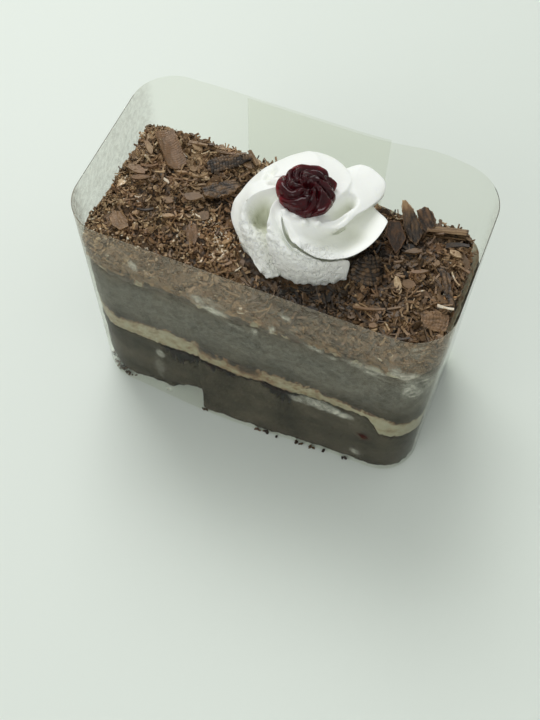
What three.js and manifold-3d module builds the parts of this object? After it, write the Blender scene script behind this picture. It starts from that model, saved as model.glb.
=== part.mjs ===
// A black forest cake slice standing in a clear film collar.
// Millimetres, +Z up, +X along the slice, -Y is the cut front face.
// The origin is the middle of the collar's foot, on the surface the slice stands on.
import * as THREE from 'three';
import { mergeVertices } from 'three/addons/utils/BufferGeometryUtils.js';
import Module from 'manifold-3d';

const wasm = await Module();
wasm.setup();

// Driving dimensions.
const gap = 0.3; // clearance between neighbouring pieces
const seamGap = 0.5; // clearance between two layers, whose faces are uneven
const film = {
  length: 100,
  depth: 53.9,
  height: 76,
  corner: 11,
  wall: 0.5,
  lapStart: -21.7, // x where the strip begins, on the inside of the lap
  lapEnd: 18, // x where the strip ends, on the outside of the lap
  swell: 2.2, // how far the foot at the front and the rim at the back push out
  stations: 80,
  levels: [0, 0.22, 0.55, 1],
};
const cake = {
  left: -49.4,
  right: 49.3,
  front: -26.3,
  back: 20.9,
  frontLeft: 10.8, // corner radii
  frontRight: 10.3,
  backRight: 7,
  backLeft: 4.5,
  around: 46, // points round each layer
};
const level = {
  filling: 28.8, // top of each layer, from the floor
  cream: 36.8,
  upperSponge: 56.2,
  topCream: 58.6,
  shavings: 61.1,
};
const notch = { fromX: -24.5, toX: -14.2, depth: 5.5, height: 7.2 };
const shavings = { count: 112, seed: 7, thickness: 0.8, clearance: 0.35 };
const rosette = { x: 4.9, y: 2.4, foot: 61, top: 77.2 };
const cherry = { x: 4.5, y: 3, z: 76.2, radius: 7.6, height: 7.2, folds: 9, around: 45 };

// Colours and finishes.
const finishes = {
  film: { color: 0xdfe6e2, roughness: 0.12, transparent: true, opacity: 0.3 },
  sponge: { color: 0x3b2a22, roughness: 0.95 },
  filling: { color: 0x2a0b10, roughness: 0.25 },
  cream: { color: 0xded6bd, roughness: 0.6 },
  whippedCream: { color: 0xf1f4f1, roughness: 0.5 },
  chocolate: { color: 0x4b3024, roughness: 0.55 },
  cherry: { color: 0x5a0a16, roughness: 0.12 },
};

// Small helpers.
const lerp = THREE.MathUtils.lerp;
const radians = THREE.MathUtils.degToRad;
const smooth = THREE.MathUtils.smoothstep;
const bump = (value, centre, width) => Math.exp(-(((value - centre) / width) ** 2));

// A repeatable random number generator, 0 to 1.
function makeRandom(seed) {
  let state = seed;
  return () => {
    state = (state + 0x6d2b79f5) | 0;
    let mixed = Math.imul(state ^ (state >>> 15), 1 | state);
    mixed = (mixed + Math.imul(mixed ^ (mixed >>> 7), 61 | mixed)) ^ mixed;
    return ((mixed ^ (mixed >>> 14)) >>> 0) / 4294967296;
  };
}

// A soft uneven surface, about -1 to 1, with hills roughly one wavelength apart.
function ripple(x, y, wavelength, shift) {
  const turn = (2 * Math.PI) / wavelength;
  const along = Math.sin(turn * x + shift);
  const across = Math.sin(1.31 * turn * y + 2.1 * shift);
  const slanted = Math.sin(0.73 * turn * (x + y) + 3.7 * shift);
  return (along + across + slanted) / 3;
}

// Joins rings of points, lowest first and counterclockwise from above, into one closed skin.
function loft(rings, firstPole, lastPole) {
  const around = rings[0].length;
  const points = [firstPole, ...rings.flat(), lastPole];
  const last = points.length - 1;
  const faces = [];
  for (let i = 0; i < around; i += 1) {
    const next = (i + 1) % around;
    faces.push(0, 1 + next, 1 + i);
    for (let row = 0; row + 1 < rings.length; row += 1) {
      const low = 1 + row * around;
      const high = low + around;
      faces.push(low + i, low + next, high + next);
      faces.push(low + i, high + next, high + i);
    }
    faces.push(last, last - around + i, last - around + next);
  }
  const geometry = new THREE.BufferGeometry().setFromPoints(points);
  geometry.setIndex(faces);
  return geometry;
}

// A closed geometry as a solid for joining and cutting.
function toSolid(geometry) {
  const bare = geometry.clone();
  bare.deleteAttribute('normal');
  bare.deleteAttribute('uv');
  const merged = mergeVertices(bare, 1e-4);
  return new wasm.Manifold(
    new wasm.Mesh({
      numProp: 3,
      vertProperties: new Float32Array(merged.attributes.position.array),
      triVerts: new Uint32Array(merged.index.array),
    }),
  );
}

// The largest closed body of a solid, so that scraps left by a cut are dropped.
function largestBody(solid) {
  const { vertProperties, triVerts } = solid.getMesh();
  const owner = Array.from({ length: vertProperties.length / 3 }, (_, i) => i);
  const rootOf = (vertex) => {
    let root = vertex;
    while (owner[root] !== root) root = owner[root];
    owner[vertex] = root;
    return root;
  };
  for (let i = 0; i < triVerts.length; i += 3) {
    owner[rootOf(triVerts[i + 1])] = rootOf(triVerts[i]);
    owner[rootOf(triVerts[i + 2])] = rootOf(triVerts[i]);
  }
  const facesOf = new Map();
  for (let i = 0; i < triVerts.length; i += 3) {
    const root = rootOf(triVerts[i]);
    if (!facesOf.has(root)) facesOf.set(root, []);
    facesOf.get(root).push(triVerts[i], triVerts[i + 1], triVerts[i + 2]);
  }
  const faces = [...facesOf.values()].sort((a, b) => b.length - a.length)[0];
  const geometry = new THREE.BufferGeometry();
  geometry.setAttribute('position', new THREE.BufferAttribute(vertProperties, 3));
  geometry.setIndex(faces);
  return mergeVertices(geometry.toNonIndexed(), 1e-5);
}

const part = new THREE.Group();

// Adds a named sub-part with its finish.
function addMesh(name, geometry, finish, parent = part) {
  const mesh = new THREE.Mesh(geometry, new THREE.MeshStandardMaterial(finishes[finish]));
  mesh.name = name;
  parent.add(mesh);
  return mesh;
}

// How far the film stands out from its plain rounded rectangle at a point.
function filmSwell(x, y, z) {
  const rise = z / film.height;
  const foot = (1 - rise) ** 1.6 * bump(x, -8, 26) * smooth(-y, 18, 26);
  const rim = rise * bump(x, 31, 11) * smooth(y, 18, 26);
  return film.swell * (foot + rim);
}

// The film: one strip wound once round the slice, its ends lapping at the back.
function makeFilm() {
  const halfX = film.length / 2;
  const halfY = film.depth / 2;
  const { corner } = film;
  const route = new THREE.Path();
  route.moveTo(film.lapStart, halfY);
  route.lineTo(halfX - corner, halfY);
  route.absarc(halfX - corner, halfY - corner, corner, Math.PI / 2, 0, true);
  route.lineTo(halfX, corner - halfY);
  route.absarc(halfX - corner, corner - halfY, corner, 0, -Math.PI / 2, true);
  route.lineTo(corner - halfX, -halfY);
  route.absarc(corner - halfX, corner - halfY, corner, -Math.PI / 2, -Math.PI, true);
  route.lineTo(-halfX, halfY - corner);
  route.absarc(corner - halfX, halfY - corner, corner, Math.PI, Math.PI / 2, true);
  route.lineTo(film.lapStart, halfY);
  const once = route.getLength();
  const total = once + film.lapEnd - film.lapStart;
  const shelf = film.wall + gap + 0.05; // step out to the outer layer of the lap
  const sections = [];
  for (let i = 0; i <= film.stations; i += 1) {
    const travelled = (total * i) / film.stations;
    const share = (travelled % once) / once;
    const at = route.getPointAt(share);
    const along = route.getTangentAt(share);
    const stepOut = shelf * smooth(travelled, once - 34, once - 3);
    const section = film.levels.map((rise) => {
      const z = rise * film.height;
      const out = stepOut + filmSwell(at.x, at.y, z);
      const corners = [film.wall / 2, -film.wall / 2].map((half) => {
        const reach = out + half;
        return new THREE.Vector3(at.x - along.y * reach, at.y + along.x * reach, z);
      });
      return corners;
    });
    const outside = section.map((pair) => pair[0]);
    const inside = section.map((pair) => pair[1]).reverse();
    sections.push([...outside, ...inside]);
  }
  const rows = film.levels.length;
  const around = 2 * rows;
  const faces = [];
  for (let i = 0; i < film.stations; i += 1) {
    for (let k = 0; k < around; k += 1) {
      const a = i * around + k;
      const b = i * around + ((k + 1) % around);
      faces.push(a, b, b + around);
      faces.push(a, b + around, a + around);
    }
  }
  const end = film.stations * around;
  for (let k = 0; k + 1 < rows; k += 1) {
    const mirrored = around - 1 - k;
    faces.push(k, mirrored, mirrored - 1);
    faces.push(k, mirrored - 1, k + 1);
    faces.push(end + k, end + mirrored - 1, end + mirrored);
    faces.push(end + k, end + k + 1, end + mirrored - 1);
  }
  const geometry = new THREE.BufferGeometry().setFromPoints(sections.flat());
  geometry.setIndex(faces);
  return geometry;
}

// The slice's plain outline, counterclockwise, with outward normals.
function cakeOutline() {
  const shape = new THREE.Path();
  const { left, right, front, back, frontLeft, frontRight, backRight, backLeft } = cake;
  shape.moveTo(left + frontLeft, front);
  shape.lineTo(right - frontRight, front);
  shape.absarc(right - frontRight, front + frontRight, frontRight, -Math.PI / 2, 0, false);
  shape.lineTo(right, back - backRight);
  shape.absarc(right - backRight, back - backRight, backRight, 0, Math.PI / 2, false);
  shape.lineTo(left + backLeft, back);
  shape.absarc(left + backLeft, back - backLeft, backLeft, Math.PI / 2, Math.PI, false);
  shape.lineTo(left, front + frontLeft);
  shape.absarc(left + frontLeft, front + frontLeft, frontLeft, Math.PI, 1.5 * Math.PI, false);
  const points = [];
  for (let i = 0; i < cake.around; i += 1) {
    const share = i / cake.around;
    const at = shape.getPointAt(share);
    const along = shape.getTangentAt(share);
    points.push({ x: at.x, y: at.y, outX: along.y, outY: -along.x });
  }
  return points;
}

const outline = cakeOutline();
const middle = { x: (cake.left + cake.right) / 2, y: (cake.front + cake.back) / 2 };

// Heights of the faces that two layers share, so that neighbours never cross.
const seams = {
  floor: () => 0,
  lowerSponge: (x, y) => {
    const lumps = 2.8 * bump(x, -20, 5) + 1.6 * bump(x, -8, 4) + 3 * bump(x, 10.5, 4);
    return seams.filling(x, y) - 1.6 - lumps * smooth(-y, 12, 18);
  },
  filling: (x, y) => {
    const shown = level.filling - 0.6 + 1.6 * bump(x, 27, 9) - 8.2 * smooth(x, 35, 43);
    return lerp(level.filling + 0.5 * ripple(x, y, 17, 1.3), shown, smooth(-y, -12, 20));
  },
  cream: (x, y) => {
    const shown = level.cream - 0.6 - 1.2 * smooth(x, -16, -4) - 7 * smooth(x, 16, 56);
    return lerp(level.cream + 0.5 * ripple(x, y, 25, 2.2), shown, smooth(-y, -12, 20));
  },
  upperSponge: (x, y) => level.upperSponge + 0.9 * ripple(x, y, 23, 0.9),
  topCream: (x, y) => level.topCream + 0.7 * ripple(x, y, 19, 2.9),
  shavings: (x, y) => {
    const heaped = 2 * smooth(-x, 14, 44) + 1.5 * smooth(x, 22, 44);
    return level.shavings + heaped + 0.6 * ripple(x, y, 11, 0.7) + 0.35 * ripple(x, y, 5.3, 1.9);
  },
};

// One layer between two shared faces, with an uneven side.
function makeLayer({ from, to, rings, topRings = rings, sideRows, roughness, inset, seed }) {
  const random = makeRandom(seed);
  const low = (x, y) => seams[from](x, y) + (from === 'floor' ? 0 : seamGap / 2);
  const high = (x, y) => seams[to](x, y) - seamGap / 2;
  const ringAt = (share, height) =>
    outline.map(({ x, y, outX, outY }) => {
      const pull = inset(x, y);
      const px = lerp(middle.x, x - outX * pull, share);
      const py = lerp(middle.y, y - outY * pull, share);
      return new THREE.Vector3(px, py, height(px, py));
    });
  const sideRow = (share) =>
    outline.map(({ x, y, outX, outY }) => {
      const z = lerp(low(x, y), high(x, y), share);
      const pressed = smooth(x, notch.toX - 0.8, notch.toX + 0.8);
      const rounded = share === 0 || share === 1 ? 0.35 : 0;
      const pull = inset(x, y) + roughness * random() + rounded;
      const push = pressed * filmSwell(x, y, z) * (y < 0 ? 1 : 0) - pull;
      return new THREE.Vector3(x + outX * push, y + outY * push, z);
    });
  const under = [...rings].reverse().map((share) => ringAt(share, low));
  const side = Array.from({ length: sideRows + 1 }, (_, i) => sideRow(i / sideRows));
  const over = topRings.map((share) => ringAt(share, high));
  const bottomPole = new THREE.Vector3(middle.x, middle.y, low(middle.x, middle.y));
  const topPole = new THREE.Vector3(middle.x, middle.y, high(middle.x, middle.y));
  return loft([...under, ...side, ...over], bottomPole, topPole);
}

const flush = () => 0;

// The chunk missing from the lower sponge's front foot.
function makeBite() {
  const width = notch.toX - notch.fromX;
  const block = new THREE.BoxGeometry(width, 2 * notch.depth, 2 * notch.height, 4, 2, 2);
  const bite = mergeVertices(block.deleteAttribute('normal').deleteAttribute('uv'));
  const random = makeRandom(19);
  const place = bite.attributes.position;
  for (let i = 0; i < place.count; i += 1) {
    const ragged = place.getX(i) < width / 2 ? 1.1 : 0.3;
    place.setX(i, place.getX(i) + ragged * (random() - 0.5));
    place.setZ(i, place.getZ(i) - 2.6 * smooth(-place.getX(i), -2, width / 2));
  }
  return toSolid(bite.translate((notch.fromX + notch.toX) / 2, cake.front - 1.2, 0));
}

// The cherry filling reaches the front only in stretches; elsewhere it stops short.
function fillingInset(x, y) {
  const shows = Math.max(bump(x, -18, 13), bump(x, 7, 9), bump(x, 43, 6));
  return y < 0 ? lerp(1.8, 0, shows) : 1.6;
}

// The folds of the piped rosette, counterclockwise. Each crest runs from beside the cherry out to its
// tip: angle in degrees, distance from the middle, height, depth of the valley beyond it, and how far
// that valley shifts to the next crest (above 0) or back to this one. Then how far the crest leans
// over the valley before it, and how far out its foot stands.
const folds = [
  { angle: [130, 165, 177, 185, 194], radius: [4.5, 10.3, 15.3, 18.6, 19.8],
    height: [77, 76.1, 73.4, 69.4, 65.4], depth: [0, 0.3, 1.3, 2, 2.6],
    shift: [0, 0, 0, 0, 0], lean: 0.8, foot: 17.4 },
  { angle: [165, 191, 206, 222, 260], radius: [4.5, 11, 15.6, 17.2, 17.4],
    height: [77, 76.7, 74.9, 68.2, 61.6], depth: [0, 5.7, 6.4, 3.2, 1.6],
    shift: [-1, -1.1, -0.5, 1.3, 1], lean: 0.9, foot: 17 },
  { angle: [198, 223, 242, 253, 268], radius: [4.5, 9.7, 12.7, 14.6, 14.9],
    height: [77, 76.7, 74.9, 69.7, 62.2], depth: [0, 0.6, 0.9, 0.4, 0.5],
    shift: [0, 0.7, 0.6, 0, 0], lean: 0.5, foot: 14.6 },
  { angle: [212, 254, 284, 323, 329], radius: [4.5, 9.8, 12.5, 15.3, 17.9],
    height: [77, 74.1, 71.2, 68.6, 61.8], depth: [0, 3.6, 5, 4.5, 6.5],
    shift: [0, 0, 0, -0.7, -2], lean: 0, foot: 17.4 },
  { angle: [225, 256, 279, 316, 377], radius: [4.5, 9.5, 12.1, 15.7, 20.6],
    height: [77, 76.5, 75, 71.6, 71.6], depth: [0, 1.1, 3.6, 4, 3.6],
    shift: [0, 0.1, 0.5, 0.4, 0], lean: 1.6, foot: 12.6 },
  { angle: [280, 314, 341, 377, 398], radius: [4.5, 8.5, 11.2, 14, 20],
    height: [77, 76.4, 75.7, 74.7, 72.8], depth: [0, 0.2, 0.5, -0.4, -2.7],
    shift: [0, 0, 0, -0.2, -0.9], lean: 1.5, foot: 12.6 },
  { angle: [340, 383, 406, 423, 435], radius: [4.5, 8, 11, 14, 15.2],
    height: [77, 77, 76.4, 75.1, 73.6], depth: [0, 0.1, 0.4, 0, -1],
    shift: [0, 0, 0, 0, 0], lean: 0.7, foot: 15.5 },
  { angle: [400, 447, 462, 470, 476], radius: [4.5, 8.4, 13.5, 18.3, 20.9],
    height: [77, 76.9, 75.6, 72.4, 67.5], depth: [0, 0.1, 0.4, 0.3, 0],
    shift: [0, 0, 0, 0, 0], lean: 0.4, foot: 16.4 },
  { angle: [460, 514, 518, 508, 500], radius: [4.5, 9.1, 13.5, 17.6, 20.3],
    height: [77, 76.6, 74.5, 70.7, 66], depth: [0, 0.2, 0.7, 0.7, 0.3],
    shift: [0, 0, 0, 0, 0], lean: 0.6, foot: 16.8 },
];
// How high the surface stands between one crest and the next, from valley 0 to crest 1.
const foldProfile = [
  [0, 1], [0.05, 0.95], [0.12, 0.76], [0.22, 0.45], [0.38, 0.17], [0.58, 0.02], [0.72, 0], [0.83, 0.16],
  [0.91, 0.58], [0.96, 0.88], [1, 1],
];
const foldSteps = [0, 0.05, 0.14, 0.3, 0.5, 0.7, 0.85, 0.94]; // from crest to crest
const foldRows = {
  under: [1, 0.5, 0.12], // from the foot up to the tips
  out: [1, 0.93, 0.84, 0.75, 0.66, 0.57, 0.48, 0.39, 0.3, 0.2, 0.08], // from the tips in
};
// Grooves pressed into the folds: places as distance and angle from the middle.
const grooves = [
  { path: [[6.8, 322], [7.5, 345], [8.3, 4], [9.6, 16], [10.6, 22]], width: 1.5, depth: 4.2 },
  { path: [[10.4, 203], [11.4, 209], [12.8, 213]], width: 1.9, depth: 1.6 },
  { path: [[16.4, 147], [15, 151], [13.6, 153], [12.6, 163]], width: 1.3, depth: 2.2 },
];

// A smooth curve through evenly spaced values.
function throughStops(values, share) {
  const last = values.length - 1;
  const k = Math.min(Math.floor(share * last), last - 1);
  const t = share * last - k;
  const before = k > 0 ? values[k - 1] : 2 * values[0] - values[1];
  const after = k < last - 1 ? values[k + 2] : 2 * values[last] - values[last - 1];
  const from = (values[k + 1] - before) / 2;
  const to = (after - values[k]) / 2;
  const rise = values[k + 1] - values[k];
  return values[k] + t * (from + t * (3 * rise - 2 * from - to + t * (from + to - 2 * rise)));
}

// The height between two crests, 0 to 1, at a share of the way across.
function reliefAt(across) {
  const k = Math.max(1, foldProfile.findIndex(([place]) => place >= across));
  const [[fromPlace, from], [toPlace, to]] = foldProfile.slice(k - 1, k + 1);
  return lerp(from, to, (across - fromPlace) / (toPlace - fromPlace));
}

// How deep the grooves are at a place beside the rosette's middle.
function grooveDepth(x, y) {
  return grooves.reduce((total, { path, width, depth }) => {
    const stops = path.map(([reach, angle]) => {
      return new THREE.Vector3(reach * Math.cos(radians(angle)), reach * Math.sin(radians(angle)), 0);
    });
    const place = new THREE.Vector3(x, y, 0);
    const away = stops.slice(1).map((stop, i) => {
      const nearest = new THREE.Line3(stops[i], stop).closestPointToPoint(place, true, new THREE.Vector3());
      return nearest.distanceTo(place);
    });
    return total + depth * Math.exp(-((Math.min(...away) / width) ** 3));
  }, 0);
}

// A point of the rosette: in fold k, a share across it, a share of the way out to the tips, and
// below the tips a share of the way down to the foot.
function rosettePoint(k, across, out, under) {
  const mine = folds[k];
  const ahead = folds[(k + 1) % folds.length];
  const at = (fold, key) => throughStops(fold[key], out);
  const between = (key) => lerp(at(mine, key), at(ahead, key), across);
  const wholeTurn = k === folds.length - 1 ? 360 : 0;
  const relief = reliefAt(across ** (2 ** at(mine, 'shift')));
  const tilt = radians(lerp(82, 24, smooth(out, 0.2, 1))); // how steeply the surface faces up
  const sink = at(mine, 'depth') * (1 - relief);
  const radius = between('radius') - sink * Math.cos(tilt);
  const height = between('height') - sink * Math.sin(tilt);
  const owner = across < 0.6 ? mine : ahead;
  const lean = (owner.lean * relief ** 2 * smooth(out, 0.25, 0.6)) / Math.max(radius, 4);
  const angle = radians(between('angle') + wholeTurn * across) - lean;
  const foot = Math.min(lerp(mine.foot, ahead.foot, across), radius);
  const reach = lerp(radius, foot, smooth(under, 0, 1));
  const x = reach * Math.cos(angle);
  const y = reach * Math.sin(angle);
  const z = lerp(height, rosette.foot, under);
  const pressed = grooveDepth(x, y) * smooth(z, rosette.foot, rosette.foot + 9);
  return new THREE.Vector3(rosette.x + x, rosette.y + y, z - pressed);
}

// The piped rosette as a solid; grow fattens it for clearance.
function rosetteSolid(grow) {
  const ringAt = (out, under) =>
    folds.flatMap((_, k) => foldSteps.map((across) => rosettePoint(k, across, out, under)));
  const rings = [
    ...foldRows.under.map((under) => ringAt(1, under)), ...foldRows.out.map((out) => ringAt(out, 0)),
  ];
  const foot = new THREE.Vector3(rosette.x, rosette.y, rosette.foot);
  const geometry = loft(rings, foot, foot.clone().setZ(rosette.top));
  geometry.computeVertexNormals();
  const { position, normal } = geometry.attributes;
  for (let i = 0; i < position.count; i += 1) {
    position.setXYZ(
      i,
      position.getX(i) + grow * normal.getX(i),
      position.getY(i) + grow * normal.getY(i),
      position.getZ(i) + grow * normal.getZ(i),
    );
  }
  return toSolid(geometry);
}

// The cherry topping: a low crinkled swirl.
function makeCherry(grow) {
  const profile = [
    [0.55, 0], [0.9, 0.08], [1, 0.3], [0.95, 0.52], [0.78, 0.72], [0.54, 0.88], [0.28, 0.97],
  ];
  const rings = profile.map(([share, rise]) =>
    Array.from({ length: cherry.around }, (_, i) => {
      const turn = (2 * Math.PI * i) / cherry.around;
      const phase = cherry.folds * (turn + 0.9 * share);
      const uneven = 0.05 * Math.sin(2 * turn + 1) + 0.04 * Math.sin(5 * turn);
      const crinkle = 0.085 * Math.sin(phase) + 0.03 * Math.sin(2 * phase + 0.8);
      const radius = cherry.radius * share * (1 + crinkle + uneven) + grow;
      const ridge = 0.55 * Math.sin(phase + 1.2) * share * smooth(rise, 0.2, 0.6);
      return new THREE.Vector3(
        cherry.x + radius * Math.cos(turn),
        cherry.y + radius * Math.sin(turn),
        cherry.z + cherry.height * rise + ridge + (rise === 0 ? -grow : grow * rise),
      );
    }),
  );
  const foot = new THREE.Vector3(cherry.x, cherry.y, cherry.z - grow);
  const tip = new THREE.Vector3(cherry.x, cherry.y, cherry.z + 0.98 * cherry.height + grow);
  return loft(rings, foot, tip);
}

// A thin chocolate plate: an oval-to-angular outline with a curl across it and ribs along it.
function makePlate({ length, width, thickness, curl, ribs, taper }, grow) {
  const around = 14;
  const faceAt = (side) =>
    Array.from({ length: around }, (_, i) => {
      const turn = (2 * Math.PI * i) / around;
      const squareX = Math.sign(Math.cos(turn)) * Math.abs(Math.cos(turn)) ** 0.55;
      const squareY = Math.sign(Math.sin(turn)) * Math.abs(Math.sin(turn)) ** 0.55;
      const narrow = 1 - taper * (0.5 + 0.5 * squareX);
      const ragged = 1 + 0.07 * Math.sin(3.3 * i + length);
      const px = squareX * (length / 2) * ragged + Math.sign(squareX) * grow;
      const py = squareY * (width / 2) * narrow * ragged + Math.sign(squareY) * grow;
      const lift = curl * (2 * py / width) ** 2 + ribs * Math.cos(2.2 * i);
      return new THREE.Vector3(px, py, lift + side * (thickness / 2 + grow));
    });
  const poleAt = (side) => new THREE.Vector3(0, 0, side * (thickness / 2 + grow));
  return loft([faceAt(-1), faceAt(1)], poleAt(-1), poleAt(1));
}

// A curl of chocolate: a sheet rolled into an open tube.
function makeCurl({ length, radius, thickness, sweep }, grow) {
  const start = radians(-sweep / 2);
  const end = radians(sweep / 2);
  const section = new THREE.Shape();
  section.absarc(0, 0, radius + grow, start, end, false);
  section.absarc(0, 0, radius - thickness - grow, end, start, true);
  section.closePath();
  const options = { depth: length + 2 * grow, steps: 1, bevelEnabled: false, curveSegments: 8 };
  const geometry = new THREE.ExtrudeGeometry(section, options);
  geometry.translate(0, 0, -length / 2 - grow);
  return geometry.rotateY(Math.PI / 2);
}

// The big pieces of chocolate: place in millimetres, turn in degrees about X, Y then Z.
const bigPieces = [
  { name: 'flake_ridged', shape: makePlate, at: [-38.0, 11.8, 65], turn: [-8, 6, -45],
    length: 13.4, width: 5.4, thickness: 0.9, curl: 0.4, ribs: 0.1, taper: 0.12 },
  { name: 'bark_back', shape: makePlate, at: [-22.0, 14.2, 64.4], turn: [14, -4, 36],
    length: 11, width: 4.6, thickness: 1.3, curl: -0.4, ribs: 0.25, taper: 0.3 },
  { name: 'bark_front', shape: makePlate, at: [-20.7, 5.2, 64.4], turn: [-10, 5, 41],
    length: 10.8, width: 5.4, thickness: 1.4, curl: -0.5, ribs: 0.28, taper: 0.35 },
  { name: 'curl_small', shape: makeCurl, at: [-16.6, 18, 63.6], turn: [60, 6, -40],
    length: 5.2, radius: 1.1, thickness: 0.6, sweep: 280 },
  { name: 'flake_left', shape: makePlate, at: [-40.4, -14.6, 64.6], turn: [8, -5, -32],
    length: 6.8, width: 4.4, thickness: 0.8, curl: 0.3, ribs: 0.05, taper: 0.3 },
  { name: 'flake_middle', shape: makePlate, at: [-21.9, -10.2, 62.8], turn: [-6, 8, -64],
    length: 6.4, width: 3.4, thickness: 0.8, curl: 0.25, ribs: 0.05, taper: 0.25 },
  { name: 'fan_curl', shape: makePlate, at: [24.6, -3.6, 63.6], turn: [-16, 10, -66],
    length: 9.8, width: 8.8, thickness: 1.6, curl: -1.3, ribs: 0.35, taper: 0.35 },
  { name: 'shard_left', shape: makePlate, at: [27.6, 8, 64.8], turn: [16, 24, -72],
    length: 9, width: 5, thickness: 0.9, curl: 0.2, ribs: 0.05, taper: 0.2 },
  { name: 'shard_tall', shape: makePlate, at: [30.4, 13, 66.6], turn: [24, 30, -62],
    length: 12.6, width: 5.2, thickness: 0.9, curl: 0.3, ribs: 0.12, taper: -0.25 },
  { name: 'shard_round', shape: makePlate, at: [34, 16, 66.2], turn: [26, 24, -50],
    length: 7, width: 5, thickness: 0.9, curl: 0.3, ribs: 0.08, taper: 0.1 },
  { name: 'curl_log', shape: makeCurl, at: [39.2, 15, 64], turn: [70, 0, 14],
    length: 10.6, radius: 1.6, thickness: 0.8, sweep: 300 },
  { name: 'splinter_right', shape: makePlate, at: [44.4, -1.4, 64.6], turn: [10, 8, -55],
    length: 10.4, width: 1.8, thickness: 1, curl: 0.1, ribs: 0.04, taper: 0.6 },
  { name: 'flake_corner', shape: makePlate, at: [44.4, -11.4, 64], turn: [5, 3, 12],
    length: 7.4, width: 5, thickness: 0.8, curl: 0.3, ribs: 0.06, taper: 0.1 },
];

// The geometry of one big piece, turned and set in its place.
function placedPiece(piece, grow) {
  const geometry = piece.shape(piece, grow);
  const [aboutX, aboutY, aboutZ] = piece.turn.map(radians);
  geometry.rotateX(aboutX).rotateY(aboutY).rotateZ(aboutZ);
  return geometry.translate(...piece.at);
}

// One shaving: a thin tapered chip.
function makeShaving(length, width, random) {
  const chip = new THREE.BoxGeometry(length, width, shavings.thickness);
  const place = chip.attributes.position;
  const tip = lerp(0.25, 0.9, random());
  for (let i = 0; i < place.count; i += 1) {
    if (place.getX(i) > 0) place.setY(i, place.getY(i) * tip);
  }
  return chip;
}

// The heap of shavings: a bumpy core with chips fused on, largest first and evenly spread.
function makeShavings(toppings) {
  const core = makeLayer({
    from: 'topCream', to: 'shavings', rings: [0.93, 0.6], topRings: [0.95, 0.8, 0.62, 0.42, 0.2],
    sideRows: 1, roughness: 0.9, inset: heapInset, seed: 31,
  });
  const random = makeRandom(shavings.seed);
  let heap = toSolid(core);
  const columns = Math.round(Math.sqrt(shavings.count * 2));
  const rows = Math.round(shavings.count / columns);
  for (let i = 0; i < columns * rows; i += 1) {
    const column = (i * 7) % columns;
    const row = Math.floor(i / columns);
    const length = lerp(7.6, 2.8, i / (columns * rows)) * lerp(0.8, 1.15, random());
    const width = lerp(0.24, 0.6, random()) * Math.min(length, 4.6);
    const margin = 0.42 * length + 0.9;
    const fromLeft = (column + lerp(0.15, 0.85, random())) / columns;
    const fromFront = (row + lerp(0.15, 0.85, random())) / rows;
    const x = lerp(cake.left + margin, cake.right - margin, fromLeft);
    const y = lerp(cake.front + margin, cake.back - margin, fromFront);
    const chip = makeShaving(length, width, random);
    chip.rotateX(radians(lerp(-38, 38, random())));
    chip.rotateY(radians(lerp(-18, 18, random())));
    chip.rotateZ(radians(360 * random()));
    chip.translate(x, y, seams.shavings(x, y) + lerp(0.3, 1.1, random()));
    heap = heap.add(toSolid(chip));
  }
  const inside = makeKeepIn();
  return toppings.reduce((left, topping) => left.subtract(topping), heap.intersect(inside));
}

// The heap draws back from the slice's rear edge, most of all behind the rosette's right, and a
// little from its ends.
function heapInset(x, y) {
  const left = 1.1 * smooth(-x, 42, 48) * smooth(y, -16, -4);
  if (y < 10) return 0.4 + left + 1.4 * smooth(x, 42, 48) * smooth(y, -20, -8);
  const ends = smooth(-x, 22, 36) + 2 * smooth(x, 36, 46);
  return 1 + 3.6 * bump(x, 28, 12) + ends;
}

// The space that the heap may fill, so that no chip reaches the film.
function makeKeepIn() {
  const tall = 12;
  const ringAt = (share, z) =>
    outline.map(({ x, y }) => {
      const px = lerp(middle.x, x, share);
      const py = lerp(middle.y, y, share);
      return new THREE.Vector3(px, py, z);
    });
  const low = level.topCream - 2;
  const rings = [ringAt(1, low), ringAt(1, low + tall)];
  const foot = new THREE.Vector3(middle.x, middle.y, low);
  return toSolid(loft(rings, foot, foot.clone().setZ(low + tall)));
}

// Assembly.
addMesh('film_collar', makeFilm(), 'film');

// The layers from the floor up, each one clear of the layer below it.
const thinRings = [0.93, 0.6];
const stack = [
  { name: 'sponge_lower', finish: 'sponge', from: 'floor', to: 'lowerSponge', sideRows: 5,
    roughness: 0.5, inset: flush, seed: 11 },
  { name: 'cherry_filling', finish: 'filling', from: 'lowerSponge', to: 'filling', sideRows: 1,
    roughness: 0.4, inset: fillingInset, seed: 12 },
  { name: 'cream_middle', finish: 'cream', from: 'filling', to: 'cream', sideRows: 2,
    roughness: 0.35, inset: flush, seed: 13 },
  { name: 'sponge_upper', finish: 'sponge', from: 'cream', to: 'upperSponge', sideRows: 4,
    roughness: 0.5, inset: flush, seed: 14 },
  { name: 'cream_top', finish: 'cream', from: 'upperSponge', to: 'topCream', sideRows: 1,
    roughness: 0.6, inset: flush, seed: 15 },
];
const layers = new THREE.Group();
part.add(layers);
let below = null;
stack.forEach((layer) => {
  let solid = toSolid(makeLayer({ rings: thinRings, ...layer }));
  if (layer.name === 'sponge_lower') solid = solid.subtract(makeBite());
  if (below) solid = solid.subtract(toSolid(below.clone().translate(0, 0, gap)));
  const geometry = largestBody(solid);
  addMesh(layer.name, geometry, layer.finish, layers);
  below = geometry;
});

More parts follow.
